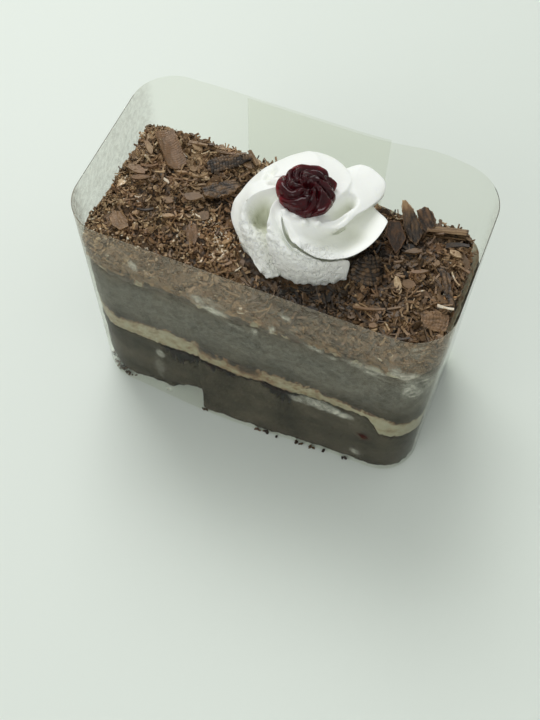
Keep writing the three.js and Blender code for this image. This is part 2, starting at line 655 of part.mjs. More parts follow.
const decoration = new THREE.Group();
part.add(decoration);
const { clearance } = shavings;
const rosetteRoom = rosetteSolid(clearance);
const pieceRooms = bigPieces.map((piece) => toSolid(placedPiece(piece, clearance)));
addMesh(
  'chocolate_shavings',
  largestBody(makeShavings([rosetteRoom, ...pieceRooms])),
  'chocolate',
  decoration,
);
bigPieces.forEach((piece, i) => {
  const earlier = pieceRooms.slice(0, i);
  const cut = earlier.reduce(
    (left, room) => left.subtract(room),
    toSolid(placedPiece(piece, 0)).subtract(rosetteRoom),
  );
  addMesh(piece.name, largestBody(cut), 'chocolate', decoration);
});
const cherryRoom = toSolid(makeCherry(clearance));
const cream = rosetteSolid(0).subtract(cherryRoom);
addMesh('cream_rosette', largestBody(cream), 'whippedCream', decoration);
addMesh('cherry_topping', makeCherry(0), 'cherry', decoration);

export default part;
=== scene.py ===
import math
import random
from functools import partial

import bpy
import numpy as np
from mathutils import Euler, Matrix, Vector, noise


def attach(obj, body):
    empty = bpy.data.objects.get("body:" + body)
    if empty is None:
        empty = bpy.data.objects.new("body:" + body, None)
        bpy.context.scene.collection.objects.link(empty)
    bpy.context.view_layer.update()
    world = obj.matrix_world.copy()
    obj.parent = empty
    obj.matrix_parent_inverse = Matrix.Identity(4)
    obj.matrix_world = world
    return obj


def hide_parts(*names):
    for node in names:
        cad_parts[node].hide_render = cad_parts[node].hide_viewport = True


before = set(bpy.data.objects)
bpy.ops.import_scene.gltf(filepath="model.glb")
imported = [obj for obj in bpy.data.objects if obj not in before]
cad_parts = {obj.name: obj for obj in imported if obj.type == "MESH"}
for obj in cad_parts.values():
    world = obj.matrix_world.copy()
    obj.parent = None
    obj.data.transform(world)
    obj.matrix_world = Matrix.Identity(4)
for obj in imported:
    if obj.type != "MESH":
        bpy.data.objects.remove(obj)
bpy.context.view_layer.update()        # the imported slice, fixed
mm = 0.001  # sizes below are millimetres, Blender's are metres


def linear(hexColour):  # an sRGB hex colour as Blender's linear one
    shares = [int(hexColour[i : i + 2], 16) / 255 for i in (0, 2, 4)]
    return tuple(s / 12.92 if s <= 0.04045 else ((s + 0.055) / 1.055) ** 2.4 for s in shares) + (1.0,)


def smooth(value, low, high):
    share = np.clip((value - low) / (high - low), 0, 1)
    return share * share * (3 - 2 * share)


def bump(value, centre, width):
    return np.exp(-(((value - centre) / width) ** 2))


def lerp(low, high, share):
    return low + (high - low) * share


def ripple(x, y, wavelength, shift):  # a soft uneven surface, about -1 to 1
    turn = 2 * math.pi / wavelength
    along = np.sin(turn * x + shift)
    across = np.sin(1.31 * turn * y + 2.1 * shift)
    slanted = np.sin(0.73 * turn * (x + y) + 3.7 * shift)
    return (along + across + slanted) / 3


def grain(points, size, seed=0.0):  # Blender's own noise at points in millimetres, about -1 to 1
    shift = Vector((seed, 2.3 * seed, -1.7 * seed))
    return np.array([noise.noise(Vector(p) / size + shift) for p in points])


def deselectAll():
    if bpy.context.object and bpy.context.object.mode != "OBJECT":
        bpy.ops.object.mode_set(mode="OBJECT")
    bpy.ops.object.select_all(action="DESELECT")


def pick(piece):  # selects one piece alone and makes it the active one
    deselectAll()
    piece.select_set(True)
    bpy.context.view_layer.objects.active = piece


def takeNew(name):  # the primitive just added, under its own name
    piece = bpy.context.object
    piece.name = name
    piece.data.name = name
    return piece


def readVectors(piece, what):  # a mesh's points ("co") or its normals ("normal")
    flat = np.zeros(len(piece.data.vertices) * 3)
    piece.data.vertices.foreach_get(what, flat)
    return flat.reshape(-1, 3)


def readPoints(piece):  # a mesh's points in millimetres
    return readVectors(piece, "co") / mm


def writePoints(piece, points):
    piece.data.vertices.foreach_set("co", (np.asarray(points) * mm).ravel())
    piece.data.update()


def newGrid(name, columns, rows, size=1):  # a flat grid, with the x and y of its points
    bpy.ops.mesh.primitive_grid_add(x_subdivisions=columns, y_subdivisions=rows, size=size)
    piece = takeNew(name)
    flat = readPoints(piece) * mm
    return piece, flat[:, 0], flat[:, 1]


def newBall(name, segments, rings):  # a ball of radius 1, with its points and where they are on it
    bpy.ops.mesh.primitive_uv_sphere_add(segments=segments, ring_count=rings, radius=1)
    piece = takeNew(name)
    ball = readPoints(piece) * mm
    turn = np.degrees(np.arctan2(ball[:, 1], ball[:, 0])) % 360
    down = np.arccos(np.clip(ball[:, 2], -1, 1)) / math.pi  # 0 at the top pole, 1 at the foot's
    return piece, ball, turn, down


def turnMatrix(*degrees):  # a turn about X, then Y, then Z
    return np.array(Euler([math.radians(angle) for angle in degrees]).to_matrix())


def paint(piece, name, values):  # a value at each point, for the material to read
    attribute = piece.data.attributes.new(name, "FLOAT", "POINT")
    attribute.data.foreach_set("value", np.asarray(values, float))


def mergeAndFaceOut(piece, distance=0.01 * mm):
    pick(piece)
    bpy.ops.object.mode_set(mode="EDIT")
    bpy.ops.mesh.select_all(action="SELECT")
    bpy.ops.mesh.remove_doubles(threshold=distance)
    bpy.ops.mesh.normals_make_consistent(inside=False)
    bpy.ops.object.mode_set(mode="OBJECT")


def applyModifier(piece, kind, **settings):
    pick(piece)
    modifier = piece.modifiers.new(kind.title(), kind)
    for key, value in settings.items():
        setattr(modifier, key, value)
    bpy.ops.object.modifier_apply(modifier=modifier.name)


def finishPiece(piece, material, replaced=(), sharp=None):  # dresses a piece that rides on the slice
    pick(piece)
    bpy.ops.object.transform_apply(location=True, rotation=True, scale=True)
    if sharp is None:
        bpy.ops.object.shade_smooth()
    else:
        bpy.ops.object.shade_smooth_by_angle(angle=math.radians(sharp))
    piece.data.materials.clear()
    piece.data.materials.append(material)
    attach(piece, "root")
    if replaced:
        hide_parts(*replaced)


def setInputs(node, inputs):  # a socket is linked, anything else is set as the value
    for key, value in inputs.items():
        if isinstance(value, bpy.types.NodeSocket):
            node.id_data.links.new(value, node.inputs[key])
        else:
            node.inputs[key].default_value = value


def addNode(tree, kind, inputs=None, stops=(), out=0, **settings):  # a node, given as its output
    made = tree.nodes.new("ShaderNode" + kind)
    for key, value in settings.items():
        setattr(made, key, value)
    setInputs(made, inputs or {})
    if stops:
        elements = made.color_ramp.elements
        while len(elements) < len(stops):
            elements.new(0.5)
        for element, (place, colour) in zip(elements, stops):
            element.position = place
            element.color = linear(colour) if isinstance(colour, str) else (colour, colour, colour, 1)
    return made.outputs[out]


def newMaterial(name):  # a material, what adds a node to it, its Principled shader, its object coordinates
    material = bpy.data.materials.new(name)
    material.use_nodes = True
    add = partial(addNode, material.node_tree)
    return material, add, material.node_tree.nodes["Principled BSDF"], add("TexCoord", out="Object")


studio = {
    "eye": (53.69, -142.39, 276.2),
    "yaw": 21.92, "pitch": 61.87, "roll": 0.76,  # degrees
    "lens": 50,
    "floorSize": 6,  # metres
    "floorHexes": ("dee5de", "e2e9e2"),
    "skyHex": "f1f4f0", "skyStrength": 0.62,
    "aim": (0, 0, 40),
    "keyPlace": (-430, 540, 900), "keySize": 620, "keyPower": 5.6,
    "fillPlace": (-200, -740, 430), "fillSize": 520, "fillPower": 1.45,
}


def makeStudio():
    turn = Matrix.Rotation(math.radians(studio["yaw"]), 4, "Z")
    turn = turn @ Matrix.Rotation(math.radians(90 - studio["pitch"]), 4, "X")
    turn = turn @ Matrix.Rotation(math.radians(studio["roll"]), 4, "Z")
    bpy.ops.object.camera_add()
    camera = bpy.context.object
    camera.matrix_world = Matrix.Translation(Vector(studio["eye"]) * mm) @ turn
    camera.data.lens = studio["lens"]
    camera.data.clip_start = 10 * mm
    bpy.context.scene.camera = camera

    world = bpy.data.worlds.new("paleStudio")
    world.use_nodes = True
    sky = {"Color": linear(studio["skyHex"]), "Strength": studio["skyStrength"]}
    setInputs(world.node_tree.nodes["Background"], sky)
    bpy.context.scene.world = world

    for name in ("key", "fill"):
        place = Vector(studio[name + "Place"])
        bpy.ops.object.light_add(type="AREA", location=place * mm)
        lamp = bpy.context.object
        lamp.data.size = studio[name + "Size"] * mm
        lamp.data.energy = studio[name + "Power"]
        lamp.rotation_euler = (Vector(studio["aim"]) - place).to_track_quat("-Z", "Y").to_euler()

    # painted board: an even pale face whose tone drifts a little
    material, add, shader, coords = newMaterial("lacqueredBoardPale")
    drift = add("TexNoise", {"Vector": coords, "Scale": 3.0, "Detail": 2.0})
    stops = [(0.3, studio["floorHexes"][0]), (0.7, studio["floorHexes"][1])]
    tone = add("ValToRGB", {"Fac": drift}, stops)
    setInputs(shader, {"Base Color": tone, "Roughness": 0.5})
    bpy.ops.mesh.primitive_plane_add(size=studio["floorSize"])
    floor = takeNew("floor")
    floor.data.materials.append(material)


deselectAll()
bpy.context.scene.view_settings.view_transform = "Standard"
makeStudio()
print("studio ready")


cakeSides = {"left": -49.4, "right": 49.3, "front": -26.3, "back": 20.9}
cakeRadii = (10.3, 7.0, 4.5, 10.8)  # front right, back right, back left, front left
cakeMiddle = (0.35, -2.7)
film = {
    "sides": {"left": -50.0, "right": 50.0, "front": -26.95, "back": 26.95},
    "corner": 11.0,  # radius
    "height": 76, "wall": 0.16,
    "swell": 2.2,  # how far it bulges at most
    "face": 0.15, "room": 0.12,  # half its wall as the cake meets it, and the room left beside it
    "lapStart": -21.7, "lapEnd": 18.0,  # x of the strip's ends at the back
    "shelf": 0.8, "shelfRun": (34, 3),  # step out to the lap's outer layer, and where it lies before the lap
    "steps": 420, "rows": 100,
}
arcSteps = 24  # steps of each rounded corner's route


def roundedCorners(sides, radii):  # from the front right: each corner's middle, the way it points, its radius
    rows = []
    for signX, signY, radius in zip((1, 1, -1, -1), (-1, 1, 1, -1), radii):
        cornerX = sides["right"] if signX > 0 else sides["left"]
        cornerY = sides["back"] if signY > 0 else sides["front"]
        rows.append((cornerX - signX * radius, cornerY - signY * radius, signX, signY, radius))
    return rows


def ringPoints(sides, radii, distances):  # places and outward normals, counterclockwise from the front left
    rows = [(sides["left"] + radii[3], sides["front"], 0.0, -1.0)]
    for k, (x, y, _, _, radius) in enumerate(roundedCorners(sides, radii)):
        for i in range(arcSteps + 1):
            turn = math.radians(90 * (k - 1) + 90 * i / arcSteps)
            out = (math.cos(turn), math.sin(turn))
            rows.append((x + radius * out[0], y + radius * out[1], *out))
    rows = np.array(rows)
    travelled = np.concatenate([[0], np.cumsum(np.hypot(*np.diff(rows[:, :2], axis=0).T))])
    at = np.asarray(distances) % travelled[-1]
    return [np.interp(at, travelled, rows[:, k]) for k in range(4)]


def ringLength(sides, radii):
    straight = 2 * (sides["right"] - sides["left"] + sides["back"] - sides["front"])
    return straight - (2 - math.pi / 2) * sum(radii)


def filmSwell(x, y, z):  # how far the film stands out from its plain rounded rectangle
    rise = np.clip(z / film["height"], 0, 1)
    foot = (1 - rise) ** 1.6 * bump(x, -8, 26) * smooth(-y, 18, 26)
    rim = rise * bump(x, 31, 11) * smooth(y, 18, 26)
    return film["swell"] * (foot + rim)


# Where cake has rubbed off on the film's front: x and z of the middle, half width and half height, tilt in
# degrees, how dense it is, its tint (0 cream, 0.5 chocolate, 1 cherry) and how streaky it is.
filmMarks = [
    (-30.1, 66.2, 1.4, 2.6, 0, 0.55, 0, 0.2), (-10.7, 61.3, 6, 3.6, -6, 0.36, 0.16, 0.5),
    (-8.2, 58.9, 4.4, 1.7, -6, 0.75, 0, 0.2), (-12.6, 61.8, 1.6, 1.5, 0, 0.7, 0, 0.2),
    (2.8, 55.9, 1.2, 1.5, 0, 0.5, 0, 0.2), (-2, 55, 3.6, 1, -10, 0.2, 0, 0.6),
    (11, 68, 1.8, 1.3, -20, 0.6, 0, 0.2), (7.6, 60, 0.8, 2.6, -20, 0.55, 0, 0.2),
    (13.4, 63.4, 0.8, 2.8, -30, 0.3, 0.2, 0.2), (19.1, 58.2, 2.5, 1.1, -5, 0.5, 0, 0.4),
    (23.8, 56.8, 1.5, 0.9, 0, 0.5, 0, 0.3), (29.4, 57.6, 3.2, 1.6, 0, 0.35, 0.05, 0.6),
    (34.4, 57.6, 4.4, 2.6, 0, 0.5, 0, 0.7), (40.2, 61, 2.2, 2.6, 0, 0.55, 0, 0.5),
    (43.4, 59.4, 2.6, 2.6, 0, 0.85, 0.08, 0.3), (45.9, 52.6, 3.6, 6.6, 0, 0.55, 0, 0.8),
    (43.9, 71.4, 2.6, 3.4, 0, 0.35, 0, 0.8), (22.4, 28.6, 7, 2.7, -4, 0.55, 0, 0.5),
    (28.6, 27.4, 3.6, 1.8, 8, 0.6, 0, 0.2), (15.8, 27.6, 2.6, 1.9, 0, 0.35, 0, 0.4),
    (-26.4, 24.4, 1.5, 2.4, 0, 0.42, 0, 0.2), (-27.2, 15.7, 1.6, 6, 0, 0.13, 0, 0.2),
    (-46, 22, 2.6, 9, 0, 0.25, 0, 0.1), (34.6, 6.8, 1.7, 2.3, 0, 0.4, 0, 0.9),
    (35.8, 18.6, 2.1, 1.5, -38, 0.7, 1, 0), (-25.4, 3.6, 1, 0.8, 0, 0.5, 0, 0.3),
    (-15.2, 69.9, 7.6, 1, 52, 0.5, 0.5, 0.5), (-18.4, 73.2, 4.4, 0.8, 40, 0.4, 0.5, 0.5),
    (-10, 67.6, 5.4, 1.2, 30, 0.35, 0.5, 0.6), (-5.4, 63.4, 1.2, 4.6, -24, 0.3, 0.5, 0.4),
    (1, 66, 9, 6, 0, 0.22, 0.5, 0.8), (-33, 69.6, 9, 4.6, 0, 0.2, 0.5, 0.8),
    (22, 67.6, 8.4, 2.2, 8, 0.32, 0.5, 0.8), (34, 66.4, 8, 4.4, 0, 0.24, 0.5, 0.8),
]


def hazeOn(points):  # how dense the marks are at the film's points, and their tint
    x, y, z = points.T
    fine = 0.3 * grain(points, 1.7, 2.2) + 0.2 * grain(points, 0.8, 6.1)
    streaks = grain(points * np.array([0.35, 0.35, 1.0]), 0.9, 3.3)
    total = (0.11 * smooth(z, 33, 46) + 0.12 * smooth(z, 54, 66)) * (1 + 1.6 * fine)
    tint = 0.32 * smooth(z, 52, 60)
    for middleX, middleZ, halfX, halfZ, tilt, dense, colour, streaky in filmMarks:
        cosine, sine = math.cos(math.radians(tilt)), math.sin(math.radians(tilt))
        along = (x - middleX) * cosine + (z - middleZ) * sine
        across = (z - middleZ) * cosine - (x - middleX) * sine
        away = np.hypot(along / halfX, across / halfZ) + fine
        streaked = np.clip(1 - streaky * (0.5 - 1.4 * streaks), 0, 1.3)
        here = np.clip(dense * (1 - smooth(away, 0.45, 1.15)) * streaked, 0, 1)
        share = np.clip(here / (total + here + 1e-6), 0, 1)
        tint = np.where(here > 0.5 * total, lerp(tint, colour, share), tint)
        total = 1 - (1 - total) * (1 - here)
    end = 0.1 * smooth(x, 47.5, 49.6) + 0.15 * smooth(-x, 47.5, 49.6)  # the slice's two ends are misted
    end = end * smooth(z, 34, 50) * (1 + fine)
    return 1 - (1 - total * smooth(-y, 14, 19)) * (1 - end), tint


def filmMaterial():
    # acetate film, cast and wound: clear and glossy, so it mirrors the pale floor and greys what lies
    # behind; cream and chocolate have rubbed off on its inner face
    material, add, shader, coords = newMaterial("castAcetateFilm")
    setInputs(shader, {
        "Base Color": linear("f7f8f3"), "Roughness": 0.05, "IOR": 1.08, "Transmission Weight": 1.0,
    })
    inShadow = add("LightPath", out="Is Shadow Ray")
    clear = add("BsdfTransparent", {"Color": linear("f8faf6")})
    bare = add("MixShader", {0: inShadow, 1: shader.outputs["BSDF"], 2: clear})
    dense = add("Attribute", out="Fac", attribute_name="haze")
    tint = add("Attribute", out="Fac", attribute_name="tint")
    cloud = add("TexNoise", {"Vector": coords, "Scale": 1 / (1.2 * mm), "Detail": 4.0})
    patchy = add("ValToRGB", {"Fac": cloud}, [(0.35, 0.45), (0.6, 1.0)])
    amount = add("Math", {0: dense, 1: patchy}, operation="MULTIPLY")
    colour = add("ValToRGB", {"Fac": tint}, [
        (0.0, "c9c9bb"), (0.5, "94806a"), (0.75, "6e5546"), (1.0, "4d2420"),
    ])
    haze = add("BsdfDiffuse", {"Color": colour})
    marked = add("MixShader", {0: amount, 1: bare, 2: haze})
    setInputs(material.node_tree.nodes["Material Output"], {"Surface": marked})
    return material


def makeFilm():
    sides, corner = film["sides"], film["corner"]
    radii = (corner,) * 4
    once = ringLength(sides, radii)
    quarter = math.pi / 2 * corner
    across, deep = sides["right"] - sides["left"] - 2 * corner, sides["back"] - sides["front"] - 2 * corner
    start = across + 2 * quarter + deep + sides["right"] - corner - film["lapStart"]
    total = once + film["lapEnd"] - film["lapStart"]
    strip, along, up = newGrid("filmCollar", film["steps"], film["rows"])
    travelled = (along + 0.5) * total
    z = (up + 0.5) * film["height"]
    x, y, outX, outY = ringPoints(sides, radii, start - travelled)
    before, after = film["shelfRun"]
    out = film["shelf"] * smooth(travelled, once - before, once - after) + filmSwell(x, y, z)
    writePoints(strip, np.stack([x + outX * out, y + outY * out, z], 1))
    applyModifier(strip, "SOLIDIFY", thickness=film["wall"] * mm, offset=0)
    mergeAndFaceOut(strip)
    haze, tint = hazeOn(readPoints(strip))
    paint(strip, "haze", haze)
    paint(strip, "tint", tint)
    finishPiece(strip, filmMaterial(), ["film_collar"], sharp=40)


makeFilm()
print("film collar made")


level = {"filling": 28.8, "cream": 36.8, "upperSponge": 56.2, "topCream": 58.6, "shavings": 61.1}
# The middle cream's edges as they show at the front: x and height.
creamEdges = {
    "filling": [
        (-48.6, 28.6), (-38, 28.1), (-28, 27.2), (-19, 27.7), (-13, 28.6), (-5, 28.2), (-2.9, 27.2), (3, 29),
        (7, 29.2), (13, 28.4), (17, 29.2), (23, 30), (28, 29.3), (35.6, 29.7), (37.6, 26), (39.5, 22),
        (43, 21), (49.3, 20),
    ],
    "cream": [
        (-48.6, 36.1), (-39, 35.6), (-31, 35.8), (-25, 37.2), (-18.7, 36), (-14.7, 36.4), (-8, 34.9),
        (-2.7, 34.6), (5.3, 35.7), (13, 35.2), (19, 35.2), (23, 34.3), (30, 33.2), (35, 32), (41, 31.8),
        (45, 29.2), (49.3, 28),
    ],
}
# The dark filling's lumps under the cream at the front: x, half width and depth.
fillingLumps = [
    (-22.5, 3.6, 4.6), (-19.4, 3.2, 4.4), (-15.8, 2.2, 2.6), (-10.2, 2.2, 3.4), (-5, 2, 3), (0.9, 1.8, 1.6),
    (6.8, 2.6, 3.6), (11, 3, 5.6), (13.8, 1.6, 2.6), (44, 5.4, 1.2),
]
notch = {"fromX": -24.5, "toX": -14.2, "depth": 5.5, "height": 7.2, "slope": 2.6}


def fillingDepth(x, y):  # how deep the cherry filling reaches down at the front
    ragged = 1 + 0.6 * ripple(x, y, 1.9, 2.0) + 0.5 * ripple(x, y, 1.2, 0.6)
    depth = sum(deep * bump(x, middle, half) for middle, half, deep in fillingLumps)
    return lerp(1.3, 0.1 + np.maximum(depth * ragged - 0.3, 0), smooth(-y, 12, 18))


def seamHeight(name, x, y):  # heights of the faces that two layers share
    fine = 0.28 * ripple(x, y, 3.7, 1.1) + 0.16 * ripple(x, y, 1.7, 2.6)
    if name == "floor":
        return 0 * x
    if name == "lowerSponge":
        return seamHeight("filling", x, y) - fillingDepth(x, y)
    if name in creamEdges:
        plain = level[name] + 0.5 * ripple(x, y, 25, 2.2)
        shown = np.interp(x, *zip(*creamEdges[name]))
        ragged = fine + 0.4 * ripple(x, y, 1.5, 4.4) + 0.34 * ripple(x, y, 2.6, 0.7)
        ragged = ragged + 0.3 * ripple(x, y, 6.3, 5.2)
        return lerp(plain, shown, smooth(-y, -12, 20)) + (ragged if name == "cream" else -ragged)
    if name == "upperSponge":
        return level[name] + 0.9 * ripple(x, y, 23, 0.9) + 2 * fine
    if name == "topCream":
        return level[name] + 0.7 * ripple(x, y, 19, 2.9)
    heaped = 2 * smooth(-x, 14, 44) + 1.5 * smooth(x, 22, 44)
    return level[name] + heaped + 0.6 * ripple(x, y, 11, 0.7) + 0.35 * ripple(x, y, 5.3, 1.9)


def footLoss(x, y, z):  # what is missing from the lower sponge's front foot
    fromX, toX = notch["fromX"], notch["toX"]
    top = notch["height"] - notch["slope"] * smooth(-x, 2 - toX, -fromX)
    across = smooth(x, fromX - 0.5, fromX + 0.5) * (1 - smooth(x, toX - 0.5, toX + 0.3))
    bite = notch["depth"] * across * (1 - smooth(z, top - 0.8, top + 0.6))
    worn = 0.7 * smooth(-x, 14, 26) * (1 - smooth(z, 0, 6))
    return np.maximum(bite, worn) * smooth(-y, 10, 18)


def closeEnds(piece, ends=(False, True)):  # caps the open foot or top by drawing it in to the middle
    for upper in ends:
        pick(piece)
        mesh = piece.data
        sides = np.zeros(len(mesh.loops), int)
        mesh.loops.foreach_get("edge_index", sides)
        uses = np.bincount(sides, minlength=len(mesh.edges))
        halfway = np.median(readPoints(piece)[:, 2]) * mm
        mesh.polygons.foreach_set("select", [False] * len(mesh.polygons))
        mesh.vertices.foreach_set("select", [False] * len(mesh.vertices))
        for edge in mesh.edges:
            height = mesh.vertices[edge.vertices[0]].co.z
            edge.select = bool(uses[edge.index] == 1 and (height > halfway) == upper)
        bpy.ops.object.mode_set(mode="EDIT")
        bpy.ops.mesh.select_mode(type="EDGE")
        for scale in (0.97, 0.75, 0.4):
            bpy.ops.mesh.extrude_edges_move()
            bpy.ops.transform.resize(value=(scale, scale, 1), center_override=Vector((*cakeMiddle, 0)) * mm)
        bpy.ops.mesh.merge(type="CENTER")
        bpy.ops.mesh.select_mode(type="VERT")
        bpy.ops.object.mode_set(mode="OBJECT")
    mergeAndFaceOut(piece, 0.001 * mm)


def spongeMaterial():
    # cocoa sponge, baked and cut: dull dark crumb with open pores and paler specks
    material, add, shader, coords = newMaterial("bakedCocoaSponge")
    pores = add("TexVoronoi", {"Vector": coords, "Scale": 1 / (1.1 * mm)})
    patches = add("TexNoise", {"Vector": coords, "Scale": 1 / (9 * mm), "Detail": 5.0})
    specks = add("TexNoise", {"Vector": coords, "Scale": 1 / (0.8 * mm), "Detail": 3.0})
    base = add("ValToRGB", {"Fac": patches}, [(0.3, "302d27"), (0.7, "534e44")])
    pale = add("ValToRGB", {"Fac": specks}, [(0.55, 0.0), (0.78, 0.6)])
    colour = add("Mix", {"Factor": pale, "A": base, "B": linear("73695a")}, out="Result", data_type="RGBA")
    relief = add("Bump", {"Height": pores, "Strength": 0.6, "Distance": 0.4 * mm})
    setInputs(shader, {"Base Color": colour, "Roughness": 0.95, "Specular IOR Level": 0.15, "Normal": relief})
    return material


# Where the top cream shows clean at the front, between stretches smeared with chocolate: x and half width.
cleanCream = [
    (-46, 1.6), (-41, 1.8), (-30, 1.2), (-12, 2.6), (-7.6, 3), (2.6, 1.2), (7.8, 1.2), (11, 1.2), (19, 2),
    (23.8, 1.2), (30, 1.6), (34.5, 2.4), (39.5, 2), (43.6, 2.6), (47, 1.4),
]
# Stains on the middle cream: x, height, half width and half height.
creamStains = [
    (-35.6, 35.4, 2.8, 1.8), (-39.6, 35, 1.2, 1), (-12.6, 34.6, 3.2, 2.2), (-9.4, 33.4, 1.4, 1),
    (-4.4, 33.4, 1.4, 1), (0.6, 33, 4, 2.4), (42.6, 25.6, 1.8, 1.6),
]


def creamTone(points, name):  # 0 is clean cream, 1 is stained brown
    x, y, z = points.T
    cloud = 0.45 * grain(points, 2.2, 4.0) + 0.45 * grain(points, 0.8, 7.0)
    if name == "topCream":
        shown = [1 - smooth(np.abs(x - middle) / half, 0.5, 1.3) for middle, half in cleanCream]
        bare = 0.7 * smooth(x, 46.5, 48.5)  # where the heap draws back
        clean = np.maximum(np.max(shown, axis=0), bare)
        return np.clip(1 - 0.95 * clean + 0.8 * cloud, 0, 1)
    stained = 0.16 + 0.16 * bump(x, 2, 14) - 0.2 * smooth(x, 24, 36)
    for middleX, middleZ, halfX, halfZ in creamStains:
        away = np.hypot((x - middleX) / halfX, (z - middleZ) / halfZ)
        stained += 0.5 * (1 - smooth(away + cloud, 0.2, 1.5))
    near = np.minimum(seamHeight("cream", x, y) - z, 1.4 * (z - seamHeight("filling", x, y)))
    edge = 0.9 * (1 - smooth(near + 3.5 * cloud, -0.2, 1.0))
    return np.clip(stained + edge + 0.8 * cloud, 0, 1)


def creamMaterial():
    # set pastry cream, spread and cut: pale beige, satin, stained brown where chocolate has rubbed in
    material, add, shader, coords = newMaterial("spreadPastryCream")
    grit = add("TexNoise", {"Vector": coords, "Scale": 1 / (1.0 * mm), "Detail": 3.0, "Roughness": 0.65})
    tone = add("Attribute", out="Fac", attribute_name="tone")
    more = add("Math", {0: grit, 1: 0.5, 2: -0.25}, operation="MULTIPLY_ADD")
    total = add("Math", {0: tone, 1: more}, operation="ADD")
    base = add("ValToRGB", {"Fac": total}, [
        (0.0, "a09a84"), (0.3, "8d8269"), (0.5, "7a6046"), (0.7, "4f3f30"), (0.9, "29211a"),
    ])
    relief = add("Bump", {"Height": grit, "Strength": 0.4, "Distance": 0.3 * mm})
    setInputs(shader, {
        "Base Color": base, "Roughness": 0.55, "Normal": relief,
        "Subsurface Weight": 0.15, "Subsurface Scale": 1.2 * mm,
    })
    return material


def fillingMaterial():
    # cherry filling, boiled and spread: near black and damp
    material, add, shader, coords = newMaterial("boiledCherryFilling")
    drift = add("TexNoise", {"Vector": coords, "Scale": 1 / (2 * mm), "Detail": 3.0})
    base = add("ValToRGB", {"Fac": drift}, [(0.4, "080405"), (0.7, "1c090a")])
    setInputs(shader, {"Base Color": base, "Roughness": 0.4, "Specular IOR Level": 0.12})
    return material


# From the foot up: the seams below and above, the steps up the side, how uneven and how crumbly it is, and
# how far it stands back.
layers = [
    {"name": "lowerSponge", "node": "sponge_lower", "slot": "chocolate_sponge",
     "seams": ("floor", "lowerSponge"), "rows": 46, "rough": 0.4, "crumb": 0.22, "inset": 0},
    {"name": "cherryFilling", "node": "cherry_filling", "slot": "cherry_filling",
     "seams": ("lowerSponge", "filling"), "rows": 8, "rough": 0.3, "crumb": 0.1, "inset": 0},
    {"name": "middleCream", "node": "cream_middle", "slot": "layer_cream",
     "seams": ("filling", "cream"), "rows": 18, "rough": 0.25, "crumb": 0.08, "inset": 0},
    {"name": "upperSponge", "node": "sponge_upper", "slot": "chocolate_sponge",
     "seams": ("cream", "upperSponge"), "rows": 36, "rough": 0.4, "crumb": 0.22, "inset": 0},
    {"name": "topCream", "node": "cream_top", "slot": "layer_cream",
     "seams": ("upperSponge", "topCream"), "rows": 8, "rough": 0.5, "crumb": 0.1, "inset": 0.2},
]
layerSteps = 560  # steps round each layer
layerGap = 0.05  # room between a layer and the next, and between a layer and the film


def makeLayer(spec):
    total = ringLength(cakeSides, cakeRadii)
    piece, along, up = newGrid(spec["name"], layerSteps, spec["rows"])
    share = up + 0.5
    x, y, outX, outY = ringPoints(cakeSides, cakeRadii, (along + 0.5) * total)
    low, high = spec["seams"]
    bottom, top = seamHeight(low, x, y) + layerGap, seamHeight(high, x, y) - layerGap
    z = lerp(bottom, top, share)
    pressed = smooth(x, -15, -13.4) * (y < 0)  # right of the notch the front lies against the film
    push = pressed * filmSwell(x, y, z) - spec["inset"] - layerGap
    places = np.stack([x, y, z], 1)
    if low == "floor":
        push -= footLoss(x + 0.5 * grain(places, 1.6, 8.8), y, z + 0.5 * grain(places, 1.9, 4.6))
    push += spec["rough"] * grain(places, 6.0, 3.1) + 0.6 * spec["rough"] * grain(places, 2.2, 1.4)
    push += spec["crumb"] * grain(places, 0.9, 5.2)
    push -= 0.3 * (1 - smooth(np.minimum(share, 1 - share) * (top - bottom), 0, 0.6))  # worn edges
    writePoints(piece, np.stack([x + outX * push, y + outY * push, z], 1))
    mergeAndFaceOut(piece)
    closeEnds(piece)
    return piece


def makeLayers():
    materials = {
        "chocolate_sponge": spongeMaterial(),
        "cherry_filling": fillingMaterial(),
        "layer_cream": creamMaterial(),
    }
    for spec in layers:
        piece = makeLayer(spec)
        if spec["slot"] == "layer_cream":
            paint(piece, "tone", creamTone(readPoints(piece), spec["name"]))
        finishPiece(piece, materials[spec["slot"]], [spec["node"]])


makeLayers()
print("layers made")


rosette = {
    "centre": (4.9, 2.4), "foot": 61.0, "top": 77.2,
    "segments": 9 * 40, "rings": 150,
    # shares of the way down the ball: where the crests begin, where their tips are, where the foot begins
    "crestStart": 0.02, "crestShare": 0.78, "footShare": 0.94,
    # how high the surface stands between one crest, at 0, and the next, at 1
    "profile": ((0, 1), (0.05, 0.95), (0.12, 0.76), (0.22, 0.45), (0.38, 0.17), (0.58, 0.02), (0.72, 0),
                (0.83, 0.16), (0.91, 0.58), (0.96, 0.88), (1, 1)),
}

